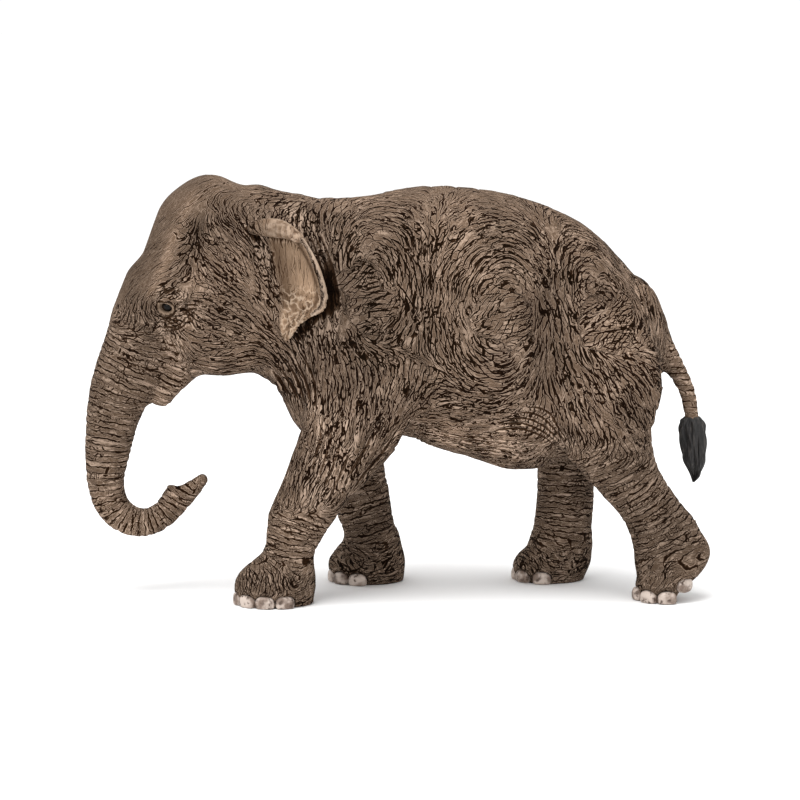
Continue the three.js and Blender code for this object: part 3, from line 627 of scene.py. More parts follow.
trunk_run = along_path(np.array([finger_path[-1][:3]]), trunk_path)[0][0]
print("the trunk's finger ends", round(float(trunk_run), 1), "mm along the trunk")

# %% Whorls and straight runs in the side view
combings = [  # centre (x, height), stretch, lean, size, and which way a whorl turns or a run heads
    ((-8, 66), (1.25, 0.72), 0, 0, 1), ((20.8, 63), (1.1, 0.85), 0, 2, -1), ((43, 60), (1.3, 0.6), 20, 0, 1),
    ((-49.8, 63.3), (1.0, 1.2), 0, 3, 1), ((-37, 75), (1, 1), 0, 7, (0.72, -0.69)),
    ((-38, 62), (1, 1), 0, 5, (0.95, -0.3)), ((-29, 66), (1.6, 0.7), 0, 3, (0.15, -1)),
    ((-37, 53.5), (0.8, 1.2), 0, 4, (0.93, 0.35)), ((-47.5, 54), (1.2, 1), 0, 3, (0.3, -0.95)),
    ((47, 36), (1.0, 0.8), 0, 9, (0.45, -0.89)), ((-13, 36), (1.2, 0.8), 0, 8, (-0.3, -0.95)),
    ((-17, 70), (1.6, 0.5), 0, 3, (0.1, -1)), ((-24, 46), (1.0, 0.8), 0, 6, (0.3, -0.95)),
    ((-30, 90), (0.7, 1.2), 0, 4, (-1, 0)), ((-48, 76), (1, 0.6), 0, 5, (-0.9, -0.45)),
    ((12, 34), (0.45, 1.6), 0, 1, (-1, 0)), ((58, 62), (1.5, 0.5), 0, 0, (0.1, 1)),
]
print("whorls:", sum(np.isscalar(way) for *_, way in combings), "of", len(combings), "combings")


def whorl_middles(p):
    """How near each point is to the middle of a whorl on the body, in the side view, from 0 to 1."""
    middles = [centre for centre, *_, way in combings if np.isscalar(way) and centre[0] > -40]
    reach = np.min([np.hypot(p[:, 0] - x, p[:, 2] - z) for x, z in middles], axis=0)
    return ramp(reach + 4 * gradient_noise(p / 5, 9), 9, 4)


def side_combing(p, out):
    """The combing direction from the side view's whorls and runs. Each one is weighted by how near it
    is; the flat direction is then laid onto the surface along two tangents, one nearest to X and one
    nearest to Z, and mirrored for the other side."""
    flip = np.where(p[:, 1] < 0, -1.0, 1.0)
    n = out * np.stack([np.ones(len(p)), flip, np.ones(len(p))], 1)
    flat = np.zeros((len(p), 2))
    for centre, stretch, lean, size, way in combings:
        c, s = math.cos(math.radians(lean)), math.sin(math.radians(lean))
        u, v = p[:, 0] - centre[0], p[:, 2] - centre[1]
        u, v = (u * c + v * s) * stretch[0], (v * c - u * s) * stretch[1]
        contour = np.hypot(u, v) + 1e-6
        u_slope, v_slope = u * stretch[0], v * stretch[1]
        slope = np.stack([u_slope * c - v_slope * s, u_slope * s + v_slope * c], 1)
        turned = way * unit(slope[:, ::-1] * [-1, 1] + 1e-9) if np.isscalar(way) else unit(way)
        flat += np.exp((size - contour) / 4.0)[:, None] * turned
    freely = (whorl_middles(p) > 0.6)[:, None]
    flat = np.where(freely, unit((0.9, 0.45)), unit(flat + 1e-12))
    x_on, z_on = np.eye(3)[0] - n * n[:, :1], np.eye(3)[2] - n * n[:, 2:]
    x_on = x_on / (np.linalg.norm(x_on, axis=1) + 1e-3)[:, None]
    z_on = z_on / (np.linalg.norm(z_on, axis=1) + 1e-3)[:, None]
    by_x = flat[:, :1] * x_on + flat[:, 1:] * np.cross(x_on, n)
    by_z = flat[:, :1] * np.cross(n, z_on) + flat[:, 1:] * z_on
    both_ways = by_x * (1 - n[:, :1] ** 2) ** 2 + by_z * (1 - n[:, 2:] ** 2) ** 2
    wander = np.stack([gradient_noise(p / 3.5, seed) for seed in (31, 32, 33)], 1)
    both_ways = unit(both_ways + 1e-9) + 0.15 * wander
    return both_ways * np.stack([np.ones(len(p)), flip, np.ones(len(p))], 1)


def brow_edge(p):
    """How far behind the line from the crown to the eye a point is, in the side view."""
    return p[:, 0] + 0.426 * (86.6 - p[:, 2]) + 42.3


# %% The ear's and the eyelids' own parts
def ear_parts(p):
    """How far each point belongs to the ear, to its curled rim, to the band of its top fold, and to the
    dark hollow by its root, from 0 to 1. They follow the ear's sheet and its tubes."""
    ear, rim, concha, fold_band = (np.zeros(len(p)) for _ in range(4))
    x, y, z = p.T
    box = np.flatnonzero((x > -33) & (x < -15) & (np.abs(y) > 10) & (z > 55) & (z < 84))
    q = mirror(p)[box]
    u = ear_sheet(q)[1]
    edge = signed_to_outline(q[:, [0, 2]], ear_edge)
    groove = np.exp(-(((edge + 1.75) / 0.4) ** 2)) * ramp(u, 0.5, 0.7)
    on_fold, on_rim = (ramp(distance(q), 0.35, 0.05) for distance, *_ in ears[1:])
    ear[box] = ramp(ear_distance(q), 0.45, 0.1) * ramp(u, 0.12, 0.25)
    ear[box] = np.maximum(ear[box], on_fold * ramp(q[:, 0], -33, -26))
    rim[box], fold_band[box] = on_rim * (1 - on_fold), on_fold * ramp(q[:, 0], -31, -28)
    concha[box] = ramp(u, 0.62, 0.15) * ramp(q[:, 2], 80, 77) * ramp(q[:, 2], 60, 67)
    concha[box] = np.maximum(concha[box], groove) * ear[box] * (1 - np.maximum(on_fold, on_rim))
    concha[box] = np.maximum(concha[box], 0.6 * on_fold * ramp(q[:, 0], -28, -31))
    return dict(ear=ear, rim=rim, fold_band=fold_band, concha=concha)


def lid_parts(p):
    """How far each point belongs to the pale lids, and to the dark line round them, from 0 to 1."""
    lid, lined = np.zeros(len(p)), np.zeros(len(p))
    near = np.flatnonzero(np.linalg.norm(mirror(p) - EYE["at"], axis=1) < 3.5)
    slit = opening(mirror(p)[near])
    lid[near], lined[near] = ramp(slit, 0.36, 0.24), ramp(slit, 0.24, 0.38) * ramp(slit, 0.7, 0.52)
    return dict(lid=lid, lined=lined)


print("on the ears:", round(float((ear_parts(skin_at)["ear"] > 0.5).mean()), 3), "of the vertices")


# %% The lie of every point
def lie_of(p, out):
    """The combing direction, the contour height of the rings, and how much of each part a point is. The
    whorls come first; the trunk, legs, tail and ears then each blend their own direction over them."""
    x, y, z = p.T
    comb = unit(side_combing(p, out) + 1e-9)
    rings = z.copy()
    run, reach, axis = along_path(p, trunk_path)
    trunk = ramp(run, 3, 13) * ramp(reach, 15, 11) * ramp(x, -38, -44) * ramp(z, 66, 60)
    rings = rings + trunk * (65.5 - run - rings)
    comb = comb + trunk[:, None] * (np.cross(axis, out) - comb)
    forehead = ramp(brow_edge(p), 0.6, -0.6) * ramp(z, 61, 66)
    crown = ramp(x, -24, -32) * ramp(z, 80, 86)
    back = ramp(z, 80, 88) * ramp(x, -26, -18)
    flow_depth = (1 - 0.6 * back) * (1 - 0.7 * crown) * (1 - 0.8 * trunk)
    ring_depth, free = trunk.copy(), whorl_middles(p)
    for leg in legs.values():
        line = np.array(leg["leg"] + leg["foot"][2:3])[:, :3]
        run, reach, axis = along_path(p, np.column_stack([line, line[:, :2]]), 24)
        same_side = (np.sign(y) == np.sign(leg["at"][1])) * ramp(np.abs(y), 1, 4)
        own = ramp(z, 47, 37) * ramp(reach, 16, 12) * same_side
        ringed, foot = own * ramp(z, *leg["ringed"]), own * ramp(z, 11, 6)
        arch, away = np.full(len(p), 30.0), 0 * p
        for toe, height, _ in nail_places(leg):
            nail = [*(leg["at"] + toe * (np.array([leg["deep"], leg["wide"]]) - 1.5)), 1.2 + height]
            reach = np.linalg.norm((p - nail) * [1, 1, 0.8], axis=1)
            arch = smooth_min(arch, reach, 1.5)
            away = away + (p - nail) * np.exp(-reach)[:, None]
        comb = comb + ringed[:, None] * (np.cross(axis, out) - comb)
        comb = comb + 0.4 * foot[:, None] * (unit(np.cross(away, out) + 1e-9) - comb)
        rings = rings + own * ((line[0, 2] - run) * (1 - foot) + foot * (arch + 2) - rings)
        flow_depth = flow_depth * (1 - 0.65 * ringed * (1 - foot))
        free = np.maximum(free, own * np.maximum(0.45, foot))
        ring_depth = np.maximum(ring_depth, ringed * (1 - 0.85 * foot))
    tail_share = ramp(x, 56, 59) * ramp(z, 56, 52)
    run, reach, axis = along_path(p, tail_path)
    comb = comb + tail_share[:, None] * (np.cross(axis, out) - comb)
    parts = {**ear_parts(p), **lid_parts(p)}
    comb = comb + parts["ear"][:, None] * (np.array([0.12, 0, -1]) - comb)
    smooth = np.maximum(np.maximum(0.85 * forehead, 0.92 * parts["ear"]), 0.9 * parts["lid"])
    comb = unit(comb - out * np.sum(comb * out, axis=1, keepdims=True) + 1e-9)
    finer = np.maximum(ramp(x, -24, -34) * (1 - trunk), ramp(z, 46, 36))  # on the head and the legs
    return comb, rings, dict(
        parts, flow_depth=flow_depth * (1 - smooth) * (1 - tail_share), forehead=forehead,
        ring_depth=np.maximum(ring_depth * (1 - smooth), 0.9 * tail_share),
        stray=free, fineness=1.24 + 0.34 * finer)


skin_out = normals_of(skin_at, skin_faces)
comb, rings, share = lie_of(skin_at, skin_out)
print("combed:", len(comb), "vertices; ringed share", round(float(share["ring_depth"].mean()), 2))

# %% [markdown]
# ## Deep creases and folds
# The deepest creases are wide enough to be pressed into the mesh itself. They are bundles of strokes:
# space is split into cells, and inside each cell a noise is drawn out along the combing, turned by an
# angle of the cell's own. Three such layers cross each other at shallow angles, as scratches by a
# sculptor's needle do. The finer strokes are left to the paint. The few great folds, such as those that
# sweep from the belly to the thigh, are placed one family at a time: a first curve, a last curve and how
# many lie between.
# %% Strokes and rings
def strokes(p, out, comb, bundle, apart, long, seed):
    """How deep each point lies in a layer of strokes, from 0 to 1. The nearest jittered cell centre is
    found, and the offset from it is measured along and across the combing. A noise of the two lengths,
    each divided by a stroke's own, is read there; it fades near the cell's edge, so that no stroke is
    cut off square. `bundle`, `apart` and `long` are millimetres."""
    q = p / bundle + seed * 3.7
    cell = np.floor(q).astype(np.int64)
    best, off, pick = np.full(len(p), np.inf), 0 * p, np.zeros(len(p))
    for corner in np.ndindex(3, 3, 3):
        c = cell + corner - 1
        kind = scrambled(c, seed)
        away = q - (c + 0.5 + 0.5 * NOISE_SLOPES[kind])
        reach = np.linalg.norm(away, axis=1)
        near = reach < best
        best, pick = np.where(near, reach, best), np.where(near, kind, pick)
        off = np.where(near[:, None], away, off)
    a = np.einsum("ij,ij->i", off, comb) * bundle * share["fineness"]
    b = np.einsum("ij,ij->i", off, np.cross(out, comb)) * bundle * share["fineness"] ** 0.5
    turn = pick / 255 - 0.5
    a, b = a + turn * b, b - turn * a
    drawn = gradient_noise(np.stack([a / long, b / apart, pick * 3.71], 1), seed)
    return ramp(drawn - 0.3 * ramp(best, 0.45, 0.8), 0.16, 0.5)


def ring_creases(p, contour, apart, seed):
    """1 at the bottom of creases that stand `apart` millimetres from each other up the contours, bent and
    broken by noise, and 0 between them: a triangle wave, cut off at a width that noise sets."""
    phase = contour / apart + 1.1 * gradient_noise(p / 8, seed) + 0.25 * gradient_noise(p / 2, seed + 1)
    wave = np.abs(2 * (phase - np.floor(phase)) - 1)
    drawn = p / 5 + np.outer(contour / (1.2 * apart), [0, 1, 0])
    width = 0.15 + 0.5 * ramp(gradient_noise(drawn, seed + 2), -0.25, 0.35)
    return 1 - ramp(wave / width, 0, 1)


ring_cut = ring_creases(skin_at, rings, 1.7, 11) * share["ring_depth"]
print("in ring creases:", round(float((ring_cut > 0.5).mean()), 3), "of the vertices")

# %% Great folds
fold_families = [  # first curve, last curve (x and height), how many, depth, width, nearest to the middle
    ([[24, 41.7], [27.8, 42.4], [30.8, 40.9], [32.9, 37.4], [35.4, 33.8]],
     [[16.5, 36.3], [21, 37.3], [25, 37.4], [30.3, 35.1], [34.2, 30.8]], 5, 0.4, 0.36, 6),
    ([[-0.4, 40.4], [8.1, 36.3], [20.8, 34.8], [31.4, 33.1]],
     [[3.8, 36.6], [12.3, 33.1], [22.9, 31], [31.4, 29.2]], 5, 0.3, 0.34, 4),
    ([[-17, 45], [-17.9, 35.3], [-21.7, 22.4]],
     [[-8.9, 39.6], [-13.2, 28.8], [-17.8, 19.2]], 4, 0.3, 0.7, 9),
    ([[-0.4, 38.5], [-3.6, 33.8], [-8.9, 27.2], [-12.1, 22]],
     [[-4.5, 41], [-7.5, 35], [-11, 29], [-13.5, 24]], 2, 0.35, 0.6, 9),
    ([[-21.7, 84], [-17.8, 79.5], [-14.9, 72], [-13.6, 63.4], [-15.3, 55.9]],
     [[-26, 86], [-21.5, 79], [-19.5, 70], [-20, 60], [-23, 52]], 5, 0.32, 0.5, 3),
    ([[-28, 50.3], [-24.9, 45.1], [-22.7, 43]], [[-22, 55], [-19, 48], [-18.5, 41]], 5, 0.42, 0.42, 0),
    ([[-51.7, 62.0], [-50.2, 61.0], [-48.5, 61.4], [-47.4, 62.8]],
     [[-51.5, 58.6], [-48.8, 58.2], [-45.9, 59.6], [-44.4, 62.3]], 5, 0.42, 0.27, 5),
    ([[-52.1, 64.6], [-50.4, 65.9], [-48.2, 65.6], [-46.5, 64.3]],
     [[-51.4, 66.7], [-49.6, 67.5], [-47.2, 67.1], [-44.7, 65.2]], 4, 0.36, 0.25, 5),
    ([[-51, 59], [-50, 55], [-48.6, 51.5]],
     [[-48, 58], [-46.5, 54.5], [-45.2, 52.2]], 3, 0.3, 0.45, 3),
    ([[-47.6, 49.5], [-44.8, 51.1], [-42.7, 50.8], [-39.7, 50.3], [-34.4, 49]],
     [[-47.2, 47.5], [-44, 49], [-41.5, 48.6], [-38.7, 48.2], [-33.4, 47.4]], 2, 0.35, 0.35, 3),
    ([[-31.6, 78.2], [-30.4, 75], [-30.9, 71]],
     [[-29, 77.8], [-28, 74.5], [-28.4, 70.5]], 4, 0.22, 0.3, 8),
    ([[-47.2, 63.7], [-44, 64], [-40.5, 63.4]],
     [[-46.9, 62.9], [-44.6, 60.9], [-43.3, 58.4]], 5, 0.4, 0.27, 5),
]


def fold_depth(p):
    """How far folds press each point in: for every curve of a family, drawn in the side view, a bell of
    the distance from it, fading towards both of its ends."""
    deep = np.zeros(len(p))
    for first, last, count, depth, width, inner in fold_families:
        first, last = (through(rows, np.linspace(0, 1, 17)) for rows in (first, last))
        for part in np.linspace(0, 1, count):
            curve = first + (last - first) * part
            low, high = curve.min(0) - 3 * width, curve.max(0) + 3 * width
            at = p[:, [0, 2]]
            near = np.flatnonzero(np.all((at > low) & (at < high), axis=1) & (np.abs(p[:, 1]) > inner))
            best, run = np.full(len(near), np.inf), np.zeros(len(near))
            for i, (a, b) in enumerate(zip(curve[:-1], curve[1:])):
                ab = b - a
                f = np.clip((at[near] - a) @ ab / (ab @ ab), 0, 1)
                reach = np.linalg.norm(at[near] - a - f[:, None] * ab, axis=1)
                run = np.where(reach < best, (i + f) / 16, run)
                best = np.minimum(best, reach)
            bell = np.exp(-((best / width) ** 2)) * np.sin(np.pi * np.clip(run, 0.02, 0.98)) ** 0.5
            outer = ramp(np.abs(p[near, 1]), inner, inner + 2)
            deep[near] = np.maximum(deep[near], depth * bell * outer)
    return deep


folds = fold_depth(skin_at) * (1 - share["ear"])
fold_count = sum(count for _, _, count, *_ in fold_families)
print("folds:", fold_count, "deepest", round(float(folds.max()), 2), "mm")

# %% Pressed strokes
cut = np.zeros(len(skin_at))
for seed, (bundle, apart, long) in enumerate([(8.0, 1.15, 9.0), (6.0, 1.0, 8.0), (7.0, 1.3, 10.0)], 3):
    cut = np.maximum(cut, strokes(skin_at, skin_out, comb, bundle, apart, long, seed))
cut = cut * share["flow_depth"]
print("in pressed strokes:", round(float((cut > 0.5).mean()), 3), "of the vertices")

# %% [markdown]
# ## Lumps, and pressing it all in
# Between the creases the skin is lumpy: softly all over, in warts on the ear's lobe, in a ridge along the
# brow and in knobs on the throat. Creases and lumps are added up as one depth and moved along the normal.
# %% Lumps
lump = 0.13 * gradient_noise(skin_at / 3.4, 21) * (1 - share["forehead"]) * (1 - 0.6 * share["ear"])
pitted = 1 - np.abs(gradient_noise(skin_at / [1.3, 1.3, 0.9], 25)) * 3
lump = lump + 0.28 * np.clip(pitted, -1, 1) * share["ear"] * ramp(skin_at[:, 2], 70, 66)
brow = np.exp(-(((brow_edge(skin_at) + 1.5) / 1.3) ** 2)) * ramp(skin_at[:, 2], 63, 67)
brow = brow * ramp(skin_at[:, 2], 90, 84) * ramp(np.abs(skin_at[:, 1]), 5, 8)
throat = np.exp(-(((skin_at[:, 0] + 26) / 5) ** 2) - ((skin_at[:, 2] - 47) / 6) ** 2)
throat = throat * ramp(np.abs(skin_at[:, 1]), 10, 6)
lump = lump + 0.3 * brow + 0.5 * throat * gradient_noise(skin_at / [1.7, 2.6, 1.3], 27)
print("lumps reach", round(float(lump.max()), 2), "mm out")

# %% Pressing the creases in
level_sole = ramp(skin_at[:, 2], 0.15, 0.8)
pressed = np.maximum(0.15 * cut, 0.2 * ring_cut) + folds - lump
moulded = skin_at - skin_out * (pressed * level_sole)[:, None]
print("pressed in by", round(float(pressed.max()), 2), "mm at most")

# %% [markdown]
# ## Where the wash gathers, and painted shade
# Wash stays in hollows, and the same darkening is painted shade where skin is overhung, as behind the ear
# and between the legs. How hollow a place is, the field tells: one step out along the normal from an open
# surface it has risen by the step, and in a hollow by less, as other skin is near. The step is taken twice.
# %% Hollows, and what the paint reads
shade = [1 - hide(skin_at + skin_out * reach, 3.0) / reach for reach in (1.2, 3.5)]
share["lobe"] = share["ear"] * ramp(skin_at[:, 2], 69, 65.5) * (1 - share["rim"])
# The hollow share darkens the paint: partly the wash in the creases, partly painted shade.
share["hollow"] = np.clip(np.maximum(shade[0], shade[1]), 0, 1)
share["cut"] = np.maximum(0.12 * cut, 0.32 * ring_cut)
share["fold"] = np.maximum(np.clip(folds / 0.5, 0, 1) ** 1.5, 0.9 * share["lined"])
print("hollow on average:", round(float(share["hollow"].mean()), 2))

# %% Lighter and darker parts, some of them painted shade and light
# Some spots are the paint's own tone. Others are painted shade, as behind the ear, in the sunk flank and low
# on the legs, and painted light, as under the belly and on the ridge of the hip.
tones = [  # centre (x, height), reach, and how many times lighter it is painted
    ((-9, 64), (9, 15), 0.68), ((-18, 70), (6, 14), 0.64), ((50, 38), (8, 9), 0.95),
    ((54, 12), (10, 12), 0.52), ((-54, 56), (5, 6), 0.76), ((-27, 5), (10, 6), 0.82),
    ((-62, 40), (7, 18), 0.76), ((-42, 80), (5, 8), 0.9), ((14, 34), (22, 8), 1.35),
    ((-24, 44), (4, 4), 0.9), ((-37, 80), (8, 8), 0.9), ((-37, 58), (9, 9), 1.08),
    ((46, 62), (9, 14), 1.16), ((4, 60), (3, 18), 0.8), ((33, 58), (3, 14), 0.82),
    ((37, 75), (5, 4), 1.12), ((36, 10), (9, 40), 0.74), ((-6, 12), (8, 24), 0.68),
    ((46, 26), (8, 8), 0.74), ((-20, 24), (8, 12), 0.9),
]
tone = np.ones(len(skin_at))
for (x, z), (wide, tall), factor in tones:
    near = np.exp(-(((skin_at[:, 0] - x) / wide) ** 2) - ((skin_at[:, 2] - z) / tall) ** 2)
    tone = tone * (1 + (factor - 1) * near)
# Painted light along the brow's ridge and painted shade in the temple's hollow; the forehead is painted
# darker.
temple = np.exp(-(((brow_edge(skin_at) - 2.2) / 2) ** 2))
temple = temple * ramp(skin_at[:, 2], 64, 68) * ramp(skin_at[:, 2], 88, 82)
face_tone = 1 + 0.5 * brow - 0.32 * share["forehead"] - 0.3 * temple
share["tone"] = np.where(share["ear"] > 0.5, 1.0, tone) * face_tone
print("tones from", round(float(share["tone"].min()), 2), "to", round(float(share["tone"].max()), 2))


# %% The skin as a mesh
def new_object(name, vertices, faces):
    """A smooth mesh object at the origin from vertices in millimetres and faces as rows of indices."""
    mesh = bpy.data.meshes.new(name)
    mesh.from_pydata((np.asarray(vertices) * MM).tolist(), [], np.asarray(faces).tolist())
    mesh.polygons.foreach_set("use_smooth", np.full(len(mesh.polygons), True))
    mesh.update()
    obj = bpy.data.objects.new(name, mesh)
    bpy.context.scene.collection.objects.link(obj)
    return obj


def set_attribute(obj, name, values):
    """Stores one number or three at each vertex."""
    values = np.asarray(values, np.float32)
    kind, field = ("FLOAT", "value") if values.ndim == 1 else ("FLOAT_VECTOR", "vector")
    attribute = obj.data.attributes.new(name, kind, "POINT")
    attribute.data.foreach_set(field, values.ravel())


def limited(obj, most):
    """Thins a mesh to a number of triangles where it is flattest, keeping its creases, and keeps the
    result as the object's own mesh."""
    obj.data.calc_loop_triangles()
    thin = obj.modifiers.new("thin", "DECIMATE")
    thin.ratio = min(1.0, most / len(obj.data.loop_triangles))
    thin.use_collapse_triangulate = True
    seen = obj.evaluated_get(bpy.context.evaluated_depsgraph_get())
    mesh = bpy.data.meshes.new_from_object(seen)
    obj.modifiers.clear()
    obj.data = mesh
    return obj


MOST_TRIANGLES = 196000
skin = new_object("hide", moulded, skin_faces)
for name, values in {"rest": skin_at, "comb": comb, "rings": rings, **share}.items():
    set_attribute(skin, name, values)
skin = limited(skin, MOST_TRIANGLES)
print("skin mesh:", len(skin.data.vertices), "vertices", len(skin.data.polygons), "faces")


# %% [markdown]
# ## Painted hide
# The maker sprays the figure brown, floods the creases with a dark wash and drags a nearly dry pale brush
# over the ridges. So the paint follows one height pattern: black-brown at the bottom of a crease, brown
# on the slopes and a pale stone colour on top. Its finest strokes are worked out by nodes from three
# attributes of the skin: where a point lay before it was pressed, its combing and its contour height.
# %% Helpers for node trees
def linear(r, g, b):
    """A paint colour given as 0 to 255 on a screen, as the light it reflects."""
    c = np.array([r, g, b]) / 255
    return (*np.where(c <= 0.04045, c / 12.92, ((c + 0.055) / 1.055) ** 2.4).tolist(), 1.0)


class Tree:
    """Short ways to add nodes to a tree and link their sockets."""

    def __init__(self, tree):
        self.tree = tree

    def node(self, kind, inputs=None, **settings):
        """A node with its settings, and its inputs linked to sockets or set to values."""
        made = self.tree.nodes.new(kind)
        for name, value in settings.items():
            setattr(made, name, value)
        for name, value in (inputs or {}).items():
            if isinstance(value, bpy.types.NodeSocket):
                self.tree.links.new(value, made.inputs[name])
            else:
                made.inputs[name].default_value = value
        return made

    def math(self, operation, a, b=0.0):
        """One sum on numbers."""
        return self.node("ShaderNodeMath", {0: a, 1: b}, operation=operation).outputs[0]

    def vector(self, operation, a, b=(0, 0, 0), scale=1.0):
        """One sum on vectors."""
        made = self.node("ShaderNodeVectorMath", {0: a, 1: b}, operation=operation)
        if operation == "SCALE":
            made.inputs["Scale"].default_value = scale
        return made.outputs[0]

    def ramp(self, x, low, high, to_low=0.0, to_high=1.0, smooth=True):
        """x from low to high, laid over to_low to to_high, as an S or straight."""
        kind = "SMOOTHSTEP" if smooth else "LINEAR"
        limits = {0: x, 1: low, 2: high, 3: to_low, 4: to_high}
        return self.node("ShaderNodeMapRange", limits, interpolation_type=kind).outputs[0]

    def noise(self, at, scale, detail, output=0):
        """A smooth noise's value, or its colour."""
        inputs = {"Vector": at, "Scale": scale, "Detail": detail}
        return self.node("ShaderNodeTexNoise", inputs).outputs[output]

    def dot(self, a, b):
        """How long one vector is along another."""
        return self.node("ShaderNodeVectorMath", {0: a, 1: b}, operation="DOT_PRODUCT").outputs["Value"]

    def mix(self, factor, a, b, blend="MIX"):
        """Colour b laid over colour a."""
        made = self.node("ShaderNodeMix", data_type="RGBA", blend_type=blend)
        for name, value in ((0, factor), (6, a), (7, b)):
            if isinstance(value, bpy.types.NodeSocket):
                self.tree.links.new(value, made.inputs[name])
            else:
                made.inputs[name].default_value = value
        return made.outputs[2]

    def colours(self, x, stops):
        """A colour for each x, between stops of a place and a colour."""
        made = self.node("ShaderNodeValToRGB", {0: x})
        band = made.color_ramp
        while len(band.elements) < len(stops):
            band.elements.new(0.5)
        for element, (at, colour) in zip(band.elements, stops):
            element.position = at
            element.color = colour
        return made.outputs[0]

    def attribute(self, name, output="Fac"):
        """What is stored at the mesh's vertices under a name."""
        made = self.node("ShaderNodeAttribute", attribute_name=name)
        return made.outputs[output]


print("node helpers:", *(name for name in vars(Tree) if not name.startswith("_")))


# %% Painted strokes
def bundled(t, rest, comb, fineness, bend, bundle, seed):
    """Cells of `bundle` millimetres, one round each random point: how far the place lies from its cell's
    point along and across the combing, after a small bend, three numbers of the cell's own, and a fade
    towards its edge. What lies across is stretched by the fineness, so rows stand closer there."""
    at = t.vector("ADD", t.vector("SCALE", rest, scale=1 / bundle), (seed * 3.7, seed * 2.9, seed * 1.3))
    found = t.node("ShaderNodeTexVoronoi", {"Vector": at, "Scale": 1.0})
    away = t.vector("SUBTRACT", at, found.outputs["Position"])
    off = t.vector("ADD", t.vector("SCALE", away, scale=bundle), bend)
    out = t.node("ShaderNodeNewGeometry").outputs["Normal"]
    along, across = t.dot(off, comb), t.dot(off, t.vector("CROSS_PRODUCT", out, comb))
    own = t.node("ShaderNodeSeparateColor", {0: found.outputs["Color"]})
    fade = t.ramp(found.outputs["Distance"], 0.6, 1.0, 0.0, 0.5)
    return along, t.math("MULTIPLY", across, fineness), own, fade


def drawn_strokes(t, cells, stray, apart, long, width, pick, across=False):
    """How deep a place lies in such a cell's strokes. They stand in rows `apart` millimetres from each
    other, turned by one of the cell's own numbers; each row's luck says where along it its stroke lies,
    how long it is and how it leans. A stroke's level is 1 less the square of the run to its end, less
    the distance from its line divided by its half width: 1 in the middle and 0 at the side."""
    a, b, own, fade = cells
    if across:
        a, b = b, a
    turn = t.math("MULTIPLY", t.math("SUBTRACT", own.outputs[pick], 0.5), t.math("ADD", stray, 0.6))
    a, b = t.math("ADD", a, t.math("MULTIPLY", turn, b)), t.math("SUBTRACT", b, t.math("MULTIPLY", turn, a))
    rows = t.math("ADD", t.math("DIVIDE", b, apart), t.math("MULTIPLY", own.outputs[(pick + 1) % 3], 7.0))
    row, third = t.math("FLOOR", rows), t.math("MULTIPLY", own.outputs[(pick + 2) % 3], 90.0)
    which = t.node("ShaderNodeCombineXYZ", {0: row, 1: third}).outputs[0]
    white = t.node("ShaderNodeTexWhiteNoise", {"Vector": which}).outputs["Color"]
    luck = t.node("ShaderNodeSeparateColor", {0: white})
    lie, size, lean = (t.math("SUBTRACT", luck.outputs[k], 0.5) for k in range(3))
    middle = t.math("MULTIPLY", lie, 0.4)
    off = t.math("SUBTRACT", t.math("SUBTRACT", t.math("FRACT", rows), 0.5), middle)
    leant = t.math("MULTIPLY", t.math("MULTIPLY", lean, 0.35), a)
    off = t.math("SUBTRACT", t.math("MULTIPLY", off, apart), leant)
    half = t.math("MULTIPLY", t.math("ADD", size, 1.0), long / 2)
    run = t.math("DIVIDE", t.math("SUBTRACT", a, t.math("MULTIPLY", size, long * 0.6)), half)
    taper = t.math("SUBTRACT", 1.0, t.math("MULTIPLY", run, run))
    aside = t.math("DIVIDE", t.math("ABSOLUTE", off), width)
    level = t.math("SUBTRACT", t.math("SUBTRACT", taper, aside), fade)
    return t.math("ADD", level, t.math("MULTIPLY", lie, 0.6))


# %% Painted rings
def creases(t, rest, contour, apart, seed, least, most, sway):
    """1 along creases that stand `apart` millimetres from each other up the contour heights. Slow noise
    bends them by `sway` creases, and a noise drawn out along them makes each one swell, thin out and
    end, between the widths `least` and `most`."""
    shifted = t.vector("ADD", rest, (seed, seed * 0.7, seed * 0.3))
    sway = t.math("MULTIPLY", t.noise(shifted, 0.15, 1.0), sway)
    wobble = t.math("MULTIPLY", t.noise(shifted, 0.6, 1.0), 0.7)
    phase = t.math("ADD", t.math("DIVIDE", contour, apart), t.math("ADD", sway, wobble))
    wave = t.math("ABSOLUTE", t.math("SUBTRACT", t.math("MULTIPLY", t.math("FRACT", phase), 2.0), 1.0))
    up = t.node("ShaderNodeCombineXYZ", {1: t.math("DIVIDE", contour, apart * 1.1)}).outputs[0]
    swell = t.noise(t.vector("ADD", t.vector("SCALE", shifted, scale=1 / 3.2), up), 1.0, 0.0)
    width = t.ramp(swell, 0.36, 0.6, least, most)
    return t.math("SUBTRACT", 1.0, t.ramp(t.math("DIVIDE", wave, width), 0.0, 1.0))


# %% Paints
def material(name, roughness):
    """A material with its tree's helper and its Principled BSDF."""
    made = bpy.data.materials.new(name)
    made.use_nodes = True
    shader = made.node_tree.nodes["Principled BSDF"]
    shader.inputs["Roughness"].default_value = roughness
    return made, Tree(made.node_tree), shader


